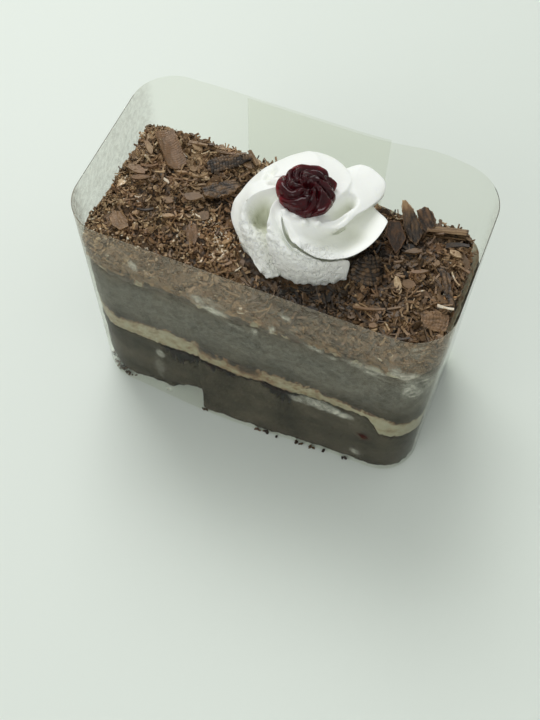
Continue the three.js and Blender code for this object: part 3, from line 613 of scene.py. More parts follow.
# Each fold's crest, from near the cherry out to its tip: angle in degrees, distance from the middle, height,
# the depth of the valley beyond it and how far that shifts to the next crest (above 0) or back to this one;
# then how far the crest leans over the valley before it and how far out its foot stands.
folds = [
    {"angle": (130, 158, 170, 177, 182, 188, 194), "radius": (4.5, 8.5, 12, 15.3, 17.7, 19.3, 19.8),
     "height": (77, 76.4, 75.6, 73.4, 70.6, 68.2, 65.4), "depth": (0, 0, 0.7, 1.3, 1.8, 2.2, 2.6),
     "lean": 0.8, "foot": 17.4},
    {"angle": (165, 186, 195, 206, 216, 231, 260), "radius": (4.5, 9.4, 12.4, 15.6, 17.3, 17.0, 17.4),
     "height": (77, 76.8, 76.4, 74.9, 70.8, 65.6, 61.6), "depth": (0, 3.6, 7.2, 6.4, 4.0, 2.6, 1.6),
     "shift": (-1, -1.1, -1.1, -0.5, 0.7, 1.7, 1), "lean": 0.9, "foot": 17.0},
    {"angle": (198, 215, 231, 242, 249, 257, 268), "radius": (4.5, 8.6, 10.6, 12.7, 14.2, 14.8, 14.9),
     "height": (77, 76.9, 76.3, 74.9, 72, 67.2, 62.2), "depth": (0, 0.4, 0.8, 0.9, 0.6, 0.3, 0.5),
     "shift": (0, 0.5, 0.8, 0.6, 0, 0, 0), "lean": 0.5, "foot": 14.6},
    {"angle": (212, 243, 263, 284, 309, 333, 329), "radius": (4.5, 8.7, 10.7, 12.5, 14.4, 16.2, 17.9),
     "height": (77, 75.2, 73.0, 71.2, 69.6, 67.2, 61.8), "depth": (0, 2.4, 4.6, 5.0, 4.2, 5.0, 6.5),
     "shift": (0, 0, 0, 0, -0.5, -1, -2), "lean": 0, "foot": 17.4},
    {"angle": (225, 248, 264, 279, 303, 331, 377), "radius": (4.5, 8.6, 10.2, 12.1, 14.5, 17.0, 20.6),
     "height": (77, 76.7, 76.2, 75.0, 72.6, 71.0, 71.6), "depth": (0, 0.3, 2.0, 3.6, 4.0, 4.0, 3.6),
     "shift": (0, 0, 0.2, 0.5, 0.5, 0.2, 0), "lean": 1.6, "foot": 12.6},
    {"angle": (280, 305, 323, 341, 368, 385, 398), "radius": (4.5, 7.4, 9.4, 11.2, 12.5, 15.8, 20.0),
     "height": (77, 76.8, 76, 75.7, 75.3, 74.0, 72.8), "depth": (0, 0, 0.4, 0.5, 0, -1.0, -2.7),
     "shift": (0, 0, 0, 0, 0, -0.5, -0.9),
     "lean": 1.5, "foot": 12.6},
    {"angle": (340, 372, 392, 406, 418, 428, 435), "radius": (4.5, 7.0, 9.0, 11, 13.2, 14.6, 15.2),
     "height": (77, 77, 76.9, 76.4, 75.6, 74.6, 73.6), "depth": (0, 0, 0.3, 0.4, 0.2, -0.3, -1.0),
     "lean": 0.7, "foot": 15.5},
    {"angle": (400, 436, 455, 462, 468, 472, 476), "radius": (4.5, 7, 10, 13.5, 17, 19.3, 20.9),
     "height": (77, 77, 76.6, 75.6, 73.6, 71, 67.5), "depth": (0, 0, 0.2, 0.4, 0.4, 0.2, 0),
     "lean": 0.4, "foot": 16.4},
    {"angle": (460, 500, 522, 518, 511, 505, 500), "radius": (4.5, 7.5, 10.6, 13.5, 16.4, 18.6, 20.3),
     "height": (77, 76.8, 76.2, 74.5, 72, 69.3, 66), "depth": (0, 0, 0.4, 0.7, 0.8, 0.5, 0.3),
     "lean": 0.6, "foot": 16.8},
]

# Grooves pressed into the folds: places as (distance, angle) from the middle, half width and depth.
grooves = [
    {"path": [(10.4, 203), (11.4, 209), (12.8, 213)], "width": 1.9, "depth": 1.6},
    {"path": [(9.7, 247), (9.9, 256), (10.8, 265), (11.7, 273)], "width": 0.9, "depth": 1.0},
    {"path": [(6.8, 322), (7.5, 345), (8.3, 4), (9.6, 16), (10.6, 22)], "width": 1.5, "depth": 4.2},
    {"path": [(9.0, 322), (10.0, 340), (10.6, 354)], "width": 0.45, "depth": 0.8},
    {"path": [(16.4, 147), (15.0, 151), (13.6, 153), (12.6, 163)], "width": 1.3, "depth": 2.2},
    {"path": [(11.6, 171), (10.2, 173), (9.0, 172)], "width": 0.8, "depth": 1.5},
    {"path": [(11.2, 292), (12.6, 308), (13.2, 330), (14.0, 352)], "width": 2.4, "depth": 1.2},
]


def throughStops(values, share):  # a smooth curve through evenly spaced values
    values = np.array(values, float)
    place = np.clip(share, 0, 1) * (len(values) - 1)
    k = np.minimum(place.astype(int), len(values) - 2)
    t = place - k
    padded = np.concatenate([[2 * values[0] - values[1]], values, [2 * values[-1] - values[-2]]])
    a, b, c, d = padded[k], padded[k + 1], padded[k + 2], padded[k + 3]
    return b + 0.5 * t * (c - a + t * (2 * a - 5 * b + 4 * c - d + t * (3 * (b - c) + d - a)))


def rosettePoints(fold, across, out, under):
    # fold number, share of the way to the next crest, share out to the tip, share from tip to foot
    along, fixed = ("angle", "radius", "height", "depth", "shift"), ("lean", "foot")
    keys = along + fixed
    mine, ahead = ({key: np.zeros(len(fold)) for key in keys} for _ in range(2))
    for k, spec in enumerate(folds):
        chosen, other = fold == k, folds[(k + 1) % len(folds)]
        for table, source in ((mine, spec), (ahead, other)):
            for key in along:
                table[key][chosen] = throughStops(source.get(key, (0,) * 7), out[chosen])
            for key in fixed:
                table[key][chosen] = source[key]
        if k == len(folds) - 1:
            ahead["angle"][chosen] += 360
    relief = np.interp(across ** (2 ** mine["shift"]), *zip(*rosette["profile"]))
    blend = {key: lerp(mine[key], ahead[key], across) for key in keys}
    tilt = np.radians(lerp(82, 24, smooth(out, 0.2, 1.0)))  # how steeply the surface faces up
    sink = mine["depth"] * (1 - relief)
    radius = blend["radius"] - sink * np.cos(tilt)
    z = blend["height"] - sink * np.sin(tilt)
    owner = np.where(across < 0.6, mine["lean"], ahead["lean"])
    lean = owner * relief**2 * smooth(out, 0.25, 0.6) / np.maximum(radius, 4)
    turned = smooth(under, 0, 1)
    radius = lerp(radius, np.minimum(blend["foot"], radius), turned)
    z = lerp(z, rosette["foot"], under)
    return radius, np.radians(blend["angle"]) - lean, z, sink


def pressGrooves(x, y, z):
    sink = np.zeros(len(x))
    for groove in grooves:
        stops = [(r * math.cos(math.radians(a)), r * math.sin(math.radians(a))) for r, a in groove["path"]]
        near, along = np.full(len(x), 1e9), np.zeros(len(x))
        for k, ((ax, ay), (bx, by)) in enumerate(zip(stops, stops[1:])):
            dx, dy = bx - ax, by - ay
            t = np.clip(((x - ax) * dx + (y - ay) * dy) / (dx * dx + dy * dy), 0, 1)
            away = np.hypot(x - ax - t * dx, y - ay - t * dy)
            along = np.where(away < near, (k + t) / (len(stops) - 1), along)
            near = np.minimum(near, away)
        share = near / groove["width"]
        sink += groove["depth"] * lerp(0.2, 1, smooth(along, 0, 0.45)) * np.exp(-(share**3))
    return sink * smooth(z, 61, 70)


def whippedMaterial():
    # whipped cream, piped through a star tip: white and soft, with painted shade, darker and yellower, down
    # in the folds and grooves; pitted by burst bubbles on its two front folds
    material, add, shader, coords = newMaterial("pipedWhippedCream")
    # painted shade: "deep" darkens and yellows the valleys between the folds and the pressed grooves
    deep = add("Attribute", out="Fac", attribute_name="deep")
    rough = add("Attribute", out="Fac", attribute_name="rough")
    shade = add("ValToRGB", {"Fac": deep}, [(0.0, "fbfdf9"), (0.35, "f2f4ec"), (1.0, "cbceb9")])
    pits = add("TexNoise", {"Vector": coords, "Scale": 1 / (0.9 * mm), "Detail": 3.0, "Roughness": 0.6})
    holes = add("ValToRGB", {"Fac": pits}, [(0.36, 0.0), (0.5, 1.0)])
    relief = add("Bump", {"Height": holes, "Strength": rough, "Distance": 0.35 * mm})
    setInputs(shader, {
        "Base Color": shade, "Roughness": 0.5, "Specular IOR Level": 0.4, "Normal": relief,
        "Subsurface Weight": 0.1, "Subsurface Radius": (1.0, 0.95, 0.75), "Subsurface Scale": 0.6 * mm,
    })
    return material


def tearSurface(piece):  # pits and torn edges, most on the two front folds
    points, normals = readPoints(piece), readVectors(piece, "normal")
    x, y = points[:, 0] - rosette["centre"][0], points[:, 1] - rosette["centre"][1]
    reach, angle = np.hypot(x, y), np.degrees(np.arctan2(y, x)) % 360
    front = smooth(angle, 195, 215) * (1 - smooth(angle, 315, 335)) * smooth(reach, 10.5, 13)
    pits = np.minimum(grain(points, 1.1, 1.5) + 0.16, 0)
    waves = 0.16 * grain(points, 2.4, 5.5) * lerp(0.35, 1.4, front)
    foot = (1 - smooth(points[:, 2], 62, 65)) * smooth(reach, 12, 14)
    scallop = 0.55 * foot * grain(points * np.array([1, 1, 0.2]), 1.2, 3.9)
    inner = smooth(angle, 225, 245) * (1 - smooth(angle, 305, 325))
    inner = inner * smooth(reach, 5.5, 6.5) * (1 - smooth(reach, 7.6, 9.2))
    dabs = 1.5 * inner * np.maximum(grain(points, 2.4, 8.1) + 0.1, 0)  # cream squeezed up under the cherry
    push = 0.8 * (0.12 + front) * pits + waves + scallop + dabs
    writePoints(piece, points + normals * push[:, None])
    paint(piece, "rough", 0.08 + 0.6 * front)


def makeRosette():
    segments, start = rosette["segments"], rosette["crestStart"]
    tip, foot = rosette["crestShare"], rosette["footShare"]
    piece, _, turn, down = newBall("creamRosette", segments, rosette["rings"])
    place = (np.round(turn / 360 * segments) % segments) / segments * len(folds)
    fold = np.minimum(place.astype(int), len(folds) - 1)
    across = np.interp(place - fold, (0, 0.08, 0.45, 1), (0, 0.05, 0.62, 1))  # finer on the steep side
    out = np.clip((down - start) / (tip - start), 0, 1)
    under = np.clip((down - tip) / (foot - tip), 0, 1)
    radius, angle, z, sink = rosettePoints(fold, across, out, under)
    pole = np.minimum(down / start, 1)  # from the pole out to where the crests begin
    below = np.clip((1 - down) / (1 - foot), 0, 1)
    radius = radius * pole * below
    z = np.where(down < start, lerp(rosette["top"], z, pole), z)
    x, y = radius * np.cos(angle), radius * np.sin(angle)
    pressed = pressGrooves(x, y, z)
    z -= pressed
    # painted shade: how far each point sinks into a valley or groove, for the material to darken it
    paint(piece, "deep", np.clip((sink + pressed) / 6, 0, 1) ** 1.5)
    x, y = x + rosette["centre"][0], y + rosette["centre"][1]
    writePoints(piece, np.stack([x, y, z], 1))
    mergeAndFaceOut(piece)
    applyModifier(piece, "SMOOTH", factor=0.5, iterations=2)
    tearSurface(piece)
    finishPiece(piece, whippedMaterial(), ["cream_rosette"])


makeRosette()
print("rosette piped")


heap = {
    "columns": 300, "rows": 145, "wall": 9,  # steps of the core's skin; the last ones make its side
    "seed": 41,
}
chance = random.Random(heap["seed"])
dice = np.random.default_rng(heap["seed"])


def heapTop(x, y):  # the heap's own surface, before its loose pieces
    edge = smooth(-x, 38, 49) * 1.1 + smooth(x, 40, 49) * 0.7
    nest = 1.3 * (1 - smooth(np.hypot(x - rosette["centre"][0], y - rosette["centre"][1]), 17, 22))
    return seamHeight("shavings", x, y) + 0.7 + 0.45 * ripple(x, y, 8.3, 4.2) - edge - nest


def heapInset(x, y):  # the heap draws back from the rear edge, most right of the rosette, and from its ends
    ends = 1.1 * smooth(-x, 42, 48) * smooth(y, -16, -4) + 1.4 * smooth(x, 42, 48) * smooth(y, -20, -8)
    back = 1 + 3.6 * bump(x, 28, 12) + smooth(-x, 22, 36) + 2 * smooth(x, 36, 46)
    return lerp(0.4 + ends, back, smooth(y, 8, 14))


def ontoSlice(x, y):  # squares the slice's rounded corners: a point of its box to a point of its outline
    x, y = x.copy(), y.copy()
    for centreX, centreY, signX, signY, _ in roundedCorners(cakeSides, cakeRadii):
        a, b = (x - centreX) * signX, (y - centreY) * signY
        inside = (a > 0) & (b > 0)
        share = np.where(inside, np.maximum(a, b) / np.maximum(np.hypot(a, b), 1e-6), 1)
        x = np.where(inside, centreX + signX * a * share, x)
        y = np.where(inside, centreY + signY * b * share, y)
    return x, y


def keepInFilm(points):  # presses whatever would pass the film back against it
    x, y, z = points[:, 0].copy(), points[:, 1].copy(), points[:, 2]
    halfX = film["sides"]["right"] - film["face"] - film["room"] + 0 * x
    halfY = film["sides"]["back"] - film["face"] - film["room"] + filmSwell(x, y, z)
    x, y = np.clip(x, -halfX, halfX), np.clip(y, -halfY, halfY)
    centreX, centreY = halfX - film["corner"], halfY - film["corner"]
    a, b = np.abs(x) - centreX, np.abs(y) - centreY
    reach = np.hypot(a, b)
    beyond = (a > 0) & (b > 0) & (reach > film["corner"])
    share = np.where(beyond, film["corner"] / np.maximum(reach, 1e-6), 1)
    x = np.where(beyond, np.sign(x) * (centreX + a * share), x)
    y = np.where(beyond, np.sign(y) * (centreY + b * share), y)
    return np.stack([x, y, z], 1)


def strewnMaterial(name, stops):  # for small bits, each with its own tone and warmth, finely streaked
    material, add, shader, coords = newMaterial(name)
    tone = add("Attribute", out="Fac", attribute_name="tone")
    warm = add("Attribute", out="Fac", attribute_name="warm")
    streaks = add("TexNoise", {"Vector": coords, "Scale": 1 / (0.5 * mm), "Detail": 3.0})
    blend = add("Math", {0: streaks, 1: 0.3}, operation="MULTIPLY")
    total = add("Math", {0: tone, 1: blend}, operation="ADD")
    base = add("ValToRGB", {"Fac": total}, stops)
    redder = {"Factor": warm, "A": base, "B": (1.12, 0.9, 0.8, 1)}
    tinted = add("Mix", redder, out="Result", data_type="RGBA", blend_type="MULTIPLY")
    relief = add("Bump", {"Height": streaks, "Strength": 0.5, "Distance": 0.15 * mm})
    setInputs(shader, {"Base Color": tinted, "Roughness": 0.5, "Normal": relief})
    return material


# whipped cream, smeared into the heap: satin, in white, cream and caramel flecks
whippedBits = strewnMaterial("smearedWhippedCream", [(0.1, "e0dccf"), (0.25, "c9b797"), (0.4, "a67b4f")])
# dark chocolate, shaved with a knife: satin, near black to milky brown, with painted highlight along the big
# pieces' rims
chocolate = strewnMaterial("shavedDarkChocolate", [
    (0.08, "1f1811"), (0.22, "2e241a"), (0.4, "5d4830"), (0.62, "7c6144"), (0.85, "9d8360"), (1.0, "c4ae8b"),
    (1.0, "e2d8c4"),
])


def makeHeapCore():
    columns, rows, wall = heap["columns"], heap["rows"], heap["wall"]
    left, right, front, back = (cakeSides[key] for key in ("left", "right", "front", "back"))
    core, along, across = newGrid("shavingsCore", columns, rows)
    i, j = np.round((along + 0.5) * columns), np.round((across + 0.5) * rows)
    ring = np.minimum(np.minimum(i, columns - i), np.minimum(j, rows - j))
    u = (np.clip(i, wall, columns - wall) - wall) / (columns - 2 * wall)
    v = (np.clip(j, wall, rows - wall) - wall) / (rows - 2 * wall)
    x, y = lerp(left, right, u), lerp(front, back, v)
    toEdge = np.minimum(np.minimum(x - left, right - x), np.minimum(y - front, back - y))
    x, y = ontoSlice(x, y)
    pull = heapInset(x, y) + 0.4
    x -= pull * smooth(np.abs(x), 40, 49) * np.sign(x)
    y -= pull * smooth(np.abs(y - cakeMiddle[1]), 14, 23.6) * np.sign(y - cakeMiddle[1])
    z = heapTop(x, y) - 1.3 * (1 - smooth(toEdge, 0, 2.4))
    places = np.stack([x, y, z], 1)
    z += 0.5 * grain(places, 2.6, 7.7) + 0.42 * grain(places, 1.2, 2.2) + 0.22 * grain(places, 0.6, 9.1)
    foot = seamHeight("topCream", x, y) + layerGap
    z = np.where(ring < wall, lerp(foot, z, ring / wall), z)
    writePoints(core, keepInFilm(np.stack([x, y, z], 1)))
    mergeAndFaceOut(core)
    closeEnds(core, ends=(False,))
    points = readPoints(core)
    paint(core, "tone", 0.22 + 0.2 * grain(points, 1.4, 3.3) + 0.12 * grain(points, 6, 1.3))
    paint(core, "warm", warmthAt(points))
    return core


def needleShape(k):  # a thin curved sliver one unit long, drawn out of a small block
    bpy.ops.mesh.primitive_cube_add(size=mm)
    piece = takeNew("needle")
    bpy.ops.object.mode_set(mode="EDIT")
    bpy.ops.mesh.select_mode(type="FACE")
    bpy.ops.mesh.select_all(action="DESELECT")
    bpy.ops.object.mode_set(mode="OBJECT")
    for polygon in piece.data.polygons:
        polygon.select = polygon.normal.x > 0.9
    bpy.ops.object.mode_set(mode="EDIT")
    for _ in range(3):
        bpy.ops.mesh.extrude_region_move(TRANSFORM_OT_translate={"value": (mm, 0, 0)})
        bpy.ops.transform.resize(value=(1, chance.uniform(0.7, 1.05), chance.uniform(0.7, 1.05)))
    bpy.ops.mesh.select_mode(type="VERT")
    bpy.ops.object.mode_set(mode="OBJECT")
    points = readPoints(piece)
    points[:, 0] = (points[:, 0] + 0.5) / 4 - 0.5
    share = 2 * points[:, 0]
    points[:, 2] += (0.5 + 0.4 * k) * share**2
    points[:, 1] += 0.4 * (k - 1) * share**2
    return piece, points


def flakeShape(k):  # a small broken plate one unit across
    bpy.ops.mesh.primitive_circle_add(vertices=8, radius=0.5 * mm, fill_type="TRIFAN")
    piece = takeNew("flake")
    points = readPoints(piece)
    points[:, :2] *= np.array([chance.uniform(0.7, 1.15) for _ in points])[:, None]
    uneven = np.array([chance.uniform(-0.06, 0.06) for _ in points])
    points[:, 2] = 0.35 * (points[:, 0] * 2) ** 2 * (k - 1) + uneven
    writePoints(piece, points)
    bpy.ops.object.mode_set(mode="EDIT")
    bpy.ops.mesh.select_all(action="SELECT")
    bpy.ops.mesh.extrude_region_move(TRANSFORM_OT_translate={"value": (0, 0, mm)})
    bpy.ops.mesh.select_all(action="SELECT")
    bpy.ops.mesh.normals_make_consistent(inside=False)
    bpy.ops.object.mode_set(mode="OBJECT")
    return piece, readPoints(piece) - np.array([0, 0, 0.5])


def crumbShape(k):  # a small angular grain
    bpy.ops.mesh.primitive_ico_sphere_add(subdivisions=1, radius=0.5 * mm)
    piece = takeNew("crumb")
    points = readPoints(piece)
    return piece, points * np.array([chance.uniform(0.65, 1.2) for _ in points])[:, None]


def threeShapes(make):  # the points and faces of three patterns, whose own objects are then deleted
    shapes = []
    for k in range(3):
        piece, points = make(k)
        shapes.append((points, [list(polygon.vertices) for polygon in piece.data.polygons]))
        pick(piece)
        bpy.ops.object.delete()
    return shapes


def copyMany(name, shapes, places, turns, sizes, tones, keep=True, warmth=None):  # all copies in one mesh
    allPoints, allFaces, allTones, start = [], [], [], 0
    for k, (points, faces) in enumerate(shapes):
        mine = np.arange(len(places)) % len(shapes) == k
        moved = points[None] * sizes[mine][:, None, :]
        moved = np.einsum("nij,nvj->nvi", turns[mine], moved) + places[mine][:, None, :]
        steps = start + np.arange(mine.sum()) * len(points)
        for face in faces:
            allFaces += (np.array(face)[None] + steps[:, None]).tolist()
        allPoints.append(moved.reshape(-1, 3))
        allTones.append(np.repeat(tones[mine], len(points)))
        start += mine.sum() * len(points)
    joined = np.concatenate(allPoints)
    mesh = bpy.data.meshes.new(name)
    mesh.from_pydata((keepInFilm(joined) if keep else joined) * mm, [], allFaces)
    piece = bpy.data.objects.new(name, mesh)
    bpy.context.collection.objects.link(piece)
    paint(piece, "tone", np.concatenate(allTones) + 0.22 * grain(joined, 0.7, 5.5))
    paint(piece, "warm", warmthAt(joined) if warmth is None else np.full(len(joined), warmth))
    return piece


def turnsFor(count, tilt, heading=None):  # turn matrices: a limited lean, and any heading or the given ones
    lean = dice.normal(0, tilt, (count, 2)).clip(-65, 65)
    heading = dice.uniform(0, 360, count) if heading is None else heading
    return np.array([turnMatrix(a, b, c) for (a, b), c in zip(lean, heading)])


# The large pieces. "bark" is how rough the face is, "edge" how strong the painted highlight along the rim is,
# "fade" how much paler one end is, and the outline is in millimetres about the piece's own middle.
plainPlate = {"edge": 0.2, "warm": 0.12, "fade": 0, "ragged": 0.05, "ribs": 0, "wave": 1}
bigPieces = [
    {"name": "flakeRidged", "node": "flake_ridged", "at": (-38, 11.8, 65), "turn": (-8, 6, -45),
     "length": 13.4, "width": 5.4, "thickness": 0.9, "curl": 0.4, "ribs": 0.05, "wave": 0.72, "bark": 0.08,
     "tone": 0.35, "edge": 0.06, "warm": 0.3,
     "outline": [(-6.3, -2.5), (-5.6, 2.7), (-1.6, 2.9), (2.1, 2.6), (5.8, 2.6), (7.1, 0.4), (6.8, -1.6),
                 (5.3, -2.9), (2, -2.8), (-2, -2.7)]},
    {"name": "barkBack", "node": "bark_back", "at": (-22, 14.2, 64.4), "turn": (14, -4, 36),
     "length": 11, "width": 4.6, "thickness": 1.3, "curl": -0.4, "ribs": 0.1, "wave": 0.8, "bark": 0.3,
     "tone": 0.06, "edge": 0.12,
     "outline": [(-6.2, 1), (-3.7, 1.9), (0, 1.5), (4.5, 0.8), (6.3, 0.2), (5.9, -0.7), (2.7, -1.6),
                 (-1.8, -2.2), (-5.6, -2)]},
    {"name": "barkFront", "node": "bark_front", "at": (-20.7, 5.2, 64.4), "turn": (-10, 5, 41),
     "length": 10.8, "width": 5.4, "thickness": 1.4, "curl": -0.5, "bark": 0.34, "tone": 0.1,
     "outline": [(-4.5, 0.8), (-0.6, 2.2), (4.4, 1.7), (5.4, -1), (3.2, -2.6), (-1.8, -3.1), (-4.9, -2)]},
    {"name": "flakeLeft", "node": "flake_left", "at": (-40.4, -14.6, 64.6), "turn": (8, -5, -32),
     "length": 6.8, "width": 4.4, "thickness": 0.8, "curl": 0.3, "bark": 0.16, "tone": 0.42, "edge": 0.08,
     "outline": [(-3.6, 0.4), (-1.6, 2), (1.8, 1.8), (3.6, 0.6), (3.2, -1.4), (0.6, -2.3), (-2.4, -1.6)]},
    {"name": "flakeMiddle", "node": "flake_middle", "at": (-21.9, -10.2, 62.8), "turn": (-6, 8, -64),
     "length": 6.4, "width": 3.4, "thickness": 0.8, "curl": 0.25, "bark": 0.14, "tone": 0.36, "edge": 0.05,
     "warm": 0.2,
     "outline": [(-3.3, -0.6), (-2.6, 1.4), (0.4, 1.8), (3.2, 0.8), (2.8, -1.1), (-0.4, -1.7)]},
    {"name": "fanCurl", "node": "fan_curl", "at": (24.6, -3.6, 63.6), "turn": (-16, 10, -66),
     "length": 9.8, "width": 8.8, "thickness": 1.6, "curl": -1.3, "ribs": 0.2, "wave": 1.15, "bark": 0.4,
     "tone": -0.08, "edge": 0.1, "ragged": 0.14,
     "outline": [(-2.6, -3.9), (-4.4, 0.6), (-3.6, 4), (-0.6, 4.4), (2.9, 3.2), (4.8, -0.4), (3.7, -3.7),
                 (0.8, -4.4)]},
    {"name": "shardLeft", "node": "shard_left", "at": (27.6, 8, 64.8), "turn": (16, 24, -72),
     "length": 9, "width": 5, "thickness": 0.9, "curl": 0.2, "bark": 0.08, "tone": 0.1, "edge": 0.16,
     "warm": 0.9,
     "outline": [(-4.4, -2), (-4.1, 0.9), (-1, 2.1), (0.2, 2.7), (2.7, 1.6), (4.4, 0.2), (1.5, -1.5),
                 (-0.8, -2.7), (-2.6, -2.5)]},
    {"name": "shardTall", "node": "shard_tall", "at": (30.4, 13, 66.6), "turn": (24, 30, -62),
     "length": 12.6, "width": 5.2, "thickness": 0.9, "curl": 0.3, "bark": 0.22, "tone": 0.08, "fade": 0.45,
     "outline": [(-5.7, -2.4), (-5.7, -1.6), (-3.4, 0.1), (-1.6, 0.8), (0.3, 1.5), (3.2, 2.4), (4.6, 1.3),
                 (6, 0.3), (4.7, -1.2), (1.1, -2.6), (-2, -2.6), (-3.6, -2.7)]},
    {"name": "shardRound", "node": "shard_round", "at": (34, 15.6, 66.2), "turn": (26, 24, -50),
     "length": 7, "width": 5, "thickness": 0.9, "curl": 0.3, "bark": 0.18, "tone": 0.1, "warm": 0.6,
     "outline": [(-3.1, -2.5), (-3.6, -0.1), (-1.7, 1.1), (0.7, 1.5), (2.2, 0.7), (3, -1.4), (2.7, -2.5),
                 (-0.7, -2.7)]},
    {"name": "splinterRight", "node": "splinter_right", "at": (44.4, -1.4, 64.6), "turn": (10, 8, -55),
     "length": 10.8, "width": 2.4, "thickness": 1, "curl": 0.1, "bark": 0.3, "tone": 0.16,
     "outline": [(-5.3, -0.5), (-4.4, 1), (0, 1.1), (5.4, 0.3), (4.2, -0.8), (0, -1.2)]},
    {"name": "flakeCorner", "node": "flake_corner", "at": (44.4, -11.4, 64), "turn": (5, 3, 12),
     "length": 7.4, "width": 5.6, "thickness": 0.8, "curl": 0.3, "ribs": 0.03, "wave": 0.8, "bark": 0.2,
     "tone": 0.36, "edge": 0.1, "warm": 0.2,
     "outline": [(-3.4, 1.4), (0.2, 2.7), (3.4, 2), (3.6, 0.2), (3.1, -2.4), (0.2, -3.2), (-3.2, -2)]},
]
plainCurl = {"streaks": 0.25, "end": 0.15}
curls = [
    {"name": "curlSmall", "node": "curl_small", "at": (-16.6, 18, 63.6), "turn": (60, 6, -40),
     "length": 5.2, "radius": 1.1, "thickness": 0.55, "sweep": 290, "tone": 0.4},
    {"name": "curlLog", "node": "curl_log", "at": (39.2, 15, 64), "turn": (70, 0, 14),
     "length": 10.6, "radius": 1.6, "thickness": 0.7, "sweep": 310, "tone": 0.44, "streaks": 0.42,
     "end": -0.35},
]


def solidAndSetDown(piece, spec, share):  # gives a face its thickness, then turns it and sets it in its place
    applyModifier(piece, "SOLIDIFY", thickness=share * spec["thickness"] * mm, offset=0)
    points = readPoints(piece) @ turnMatrix(*spec["turn"]).T + np.array(spec["at"])
    writePoints(piece, keepInFilm(points))
    mergeAndFaceOut(piece)
    return piece


def outlineReach(outline, turn):  # how far an outline stands from its middle in each direction
    aimX, aimY = np.cos(turn), np.sin(turn)
    reach = np.full(len(turn), 1e9)
    for (ax, ay), (bx, by) in zip(outline, outline[1:] + outline[:1]):
        dx, dy = bx - ax, by - ay
        cross = aimX * dy - aimY * dx
        safe = np.where(np.abs(cross) < 1e-9, 1e-9, cross)
        far = (ax * dy - ay * dx) / safe
        along = (ax * aimY - ay * aimX) / safe
        hit = (far > 0) & (along >= 0) & (along <= 1)
        reach = np.where(hit & (far < reach), far, reach)
    return np.where(reach > 1e8, np.median(reach), reach)


def makePlatePiece(spec, seed):
    spec = {**plainPlate, **spec}
    piece, flatX, flatY = newGrid(spec["name"], 72, 72, size=2)
    out, turn = np.maximum(np.abs(flatX), np.abs(flatY)), np.arctan2(flatY, flatX)
    around = np.stack([6 * np.cos(turn), 6 * np.sin(turn), 0 * turn + seed], 1)
    reach = out * outlineReach(spec["outline"], turn) * (1 + spec["ragged"] * grain(around, 0.5, seed))
    x, y = reach * np.cos(turn), reach * np.sin(turn)
    places = np.stack([x, y, 0 * x], 1)
    wave = np.sin(2 * math.pi * (x + 0.12 * y * y) / spec["wave"])
    knots = grain(places * np.array([0.4, 1.3, 1]), 0.8, seed + 5)
    z = spec["curl"] * (2 * y / spec["width"]) ** 2 + 0.25 * grain(places, 3.0, seed + 2)
    z += spec["ribs"] * wave
    z += spec["bark"] * knots + 0.5 * spec["bark"] * grain(places, 0.4, seed + 6)
    writePoints(piece, np.stack([x, y, z], 1))
    blotch = 0.09 * grain(places, 1.5, seed) + 1.2 * spec["bark"] * knots + 0.6 * spec["ribs"] * wave
    fade = spec["fade"] * smooth(-x / spec["length"], 0.08, 0.34)
    # painted highlight: each piece's rim is painted paler by "edge"
    paint(piece, "tone", spec["tone"] + spec["edge"] * smooth(out, 0.9, 1.0) + blotch + fade)
    paint(piece, "warm", spec["warm"] + 0.3 * np.clip(grain(places, 2.2, seed + 4), 0, 1))
    return solidAndSetDown(piece, spec, 0.7)


def makeCurlPiece(spec, seed):
    spec = {**plainCurl, **spec}
    piece, a, b = newGrid(spec["name"], 60, 60, size=2)
    turn = np.radians(b * spec["sweep"] / 2)
    streak = grain(np.stack([a * 0.6, 5 * np.cos(turn), 5 * np.sin(turn)], 1), 0.7, seed)
    ragged = 1 + 0.05 * grain(np.stack([2 * b, 0 * b, np.sign(a)], 1), 0.3, seed)
    radius = spec["radius"] - 0.3 * spec["thickness"] - 0.35 * (b + 1) / 2 * spec["thickness"] + 0.1 * streak
    x = a * ragged * spec["length"] / 2
    writePoints(piece, np.stack([x, radius * np.sin(turn), -radius * np.cos(turn)], 1))
    paint(piece, "tone", spec["tone"] + spec["streaks"] * streak + spec["end"] * smooth(a, 0.86, 1))
    return solidAndSetDown(piece, spec, 0.5)


def clearOfPieces(places, room):  # true where a chip would not stand inside a big piece or the rosette
    x, y = places[:, 0] - rosette["centre"][0], places[:, 1] - rosette["centre"][1]
    feet = [(spec["angle"][-1] % 360, spec["foot"] + 0.8) for spec in folds]
    edge = np.interp(np.degrees(np.arctan2(y, x)) % 360, *zip(*sorted(feet)), period=360)
    free = np.hypot(x, y) > edge + room
    for spec in bigPieces + curls:
        local = (places - np.array(spec["at"])) @ turnMatrix(*spec["turn"])
        half = spec.get("width", 2 * spec.get("radius", 0)) / 2
        over = (np.abs(local[:, 0]) < spec["length"] / 2) & (np.abs(local[:, 1]) < half)
        free &= ~(over & (local[:, 2] > -0.9) & (local[:, 2] < 4))
    return free


def scatter(count, lift, room):  # places over the heap's top
    left, right, front, back = (cakeSides[key] for key in ("left", "right", "front", "back"))
    x, y = dice.uniform(left + 0.3, right - 0.3, count), dice.uniform(front + 0.3, back - 0.3, count)
    x, y = ontoSlice(x, y)
    y -= heapInset(x, y) * smooth(y, 14, back)
    x -= (heapInset(x, y) - 0.4) * smooth(np.abs(x), 38, 48) * np.sign(x)
    toEdge = np.minimum(np.minimum(x + 48.6, right - x), np.minimum(y - front, back - heapInset(x, y) - y))
    z = heapTop(x, y) - 1.1 * (1 - smooth(toEdge, 0, 2.0)) + dice.uniform(*lift, count)
    places = np.stack([x, y, z], 1)
    return places[clearOfPieces(places, room)]
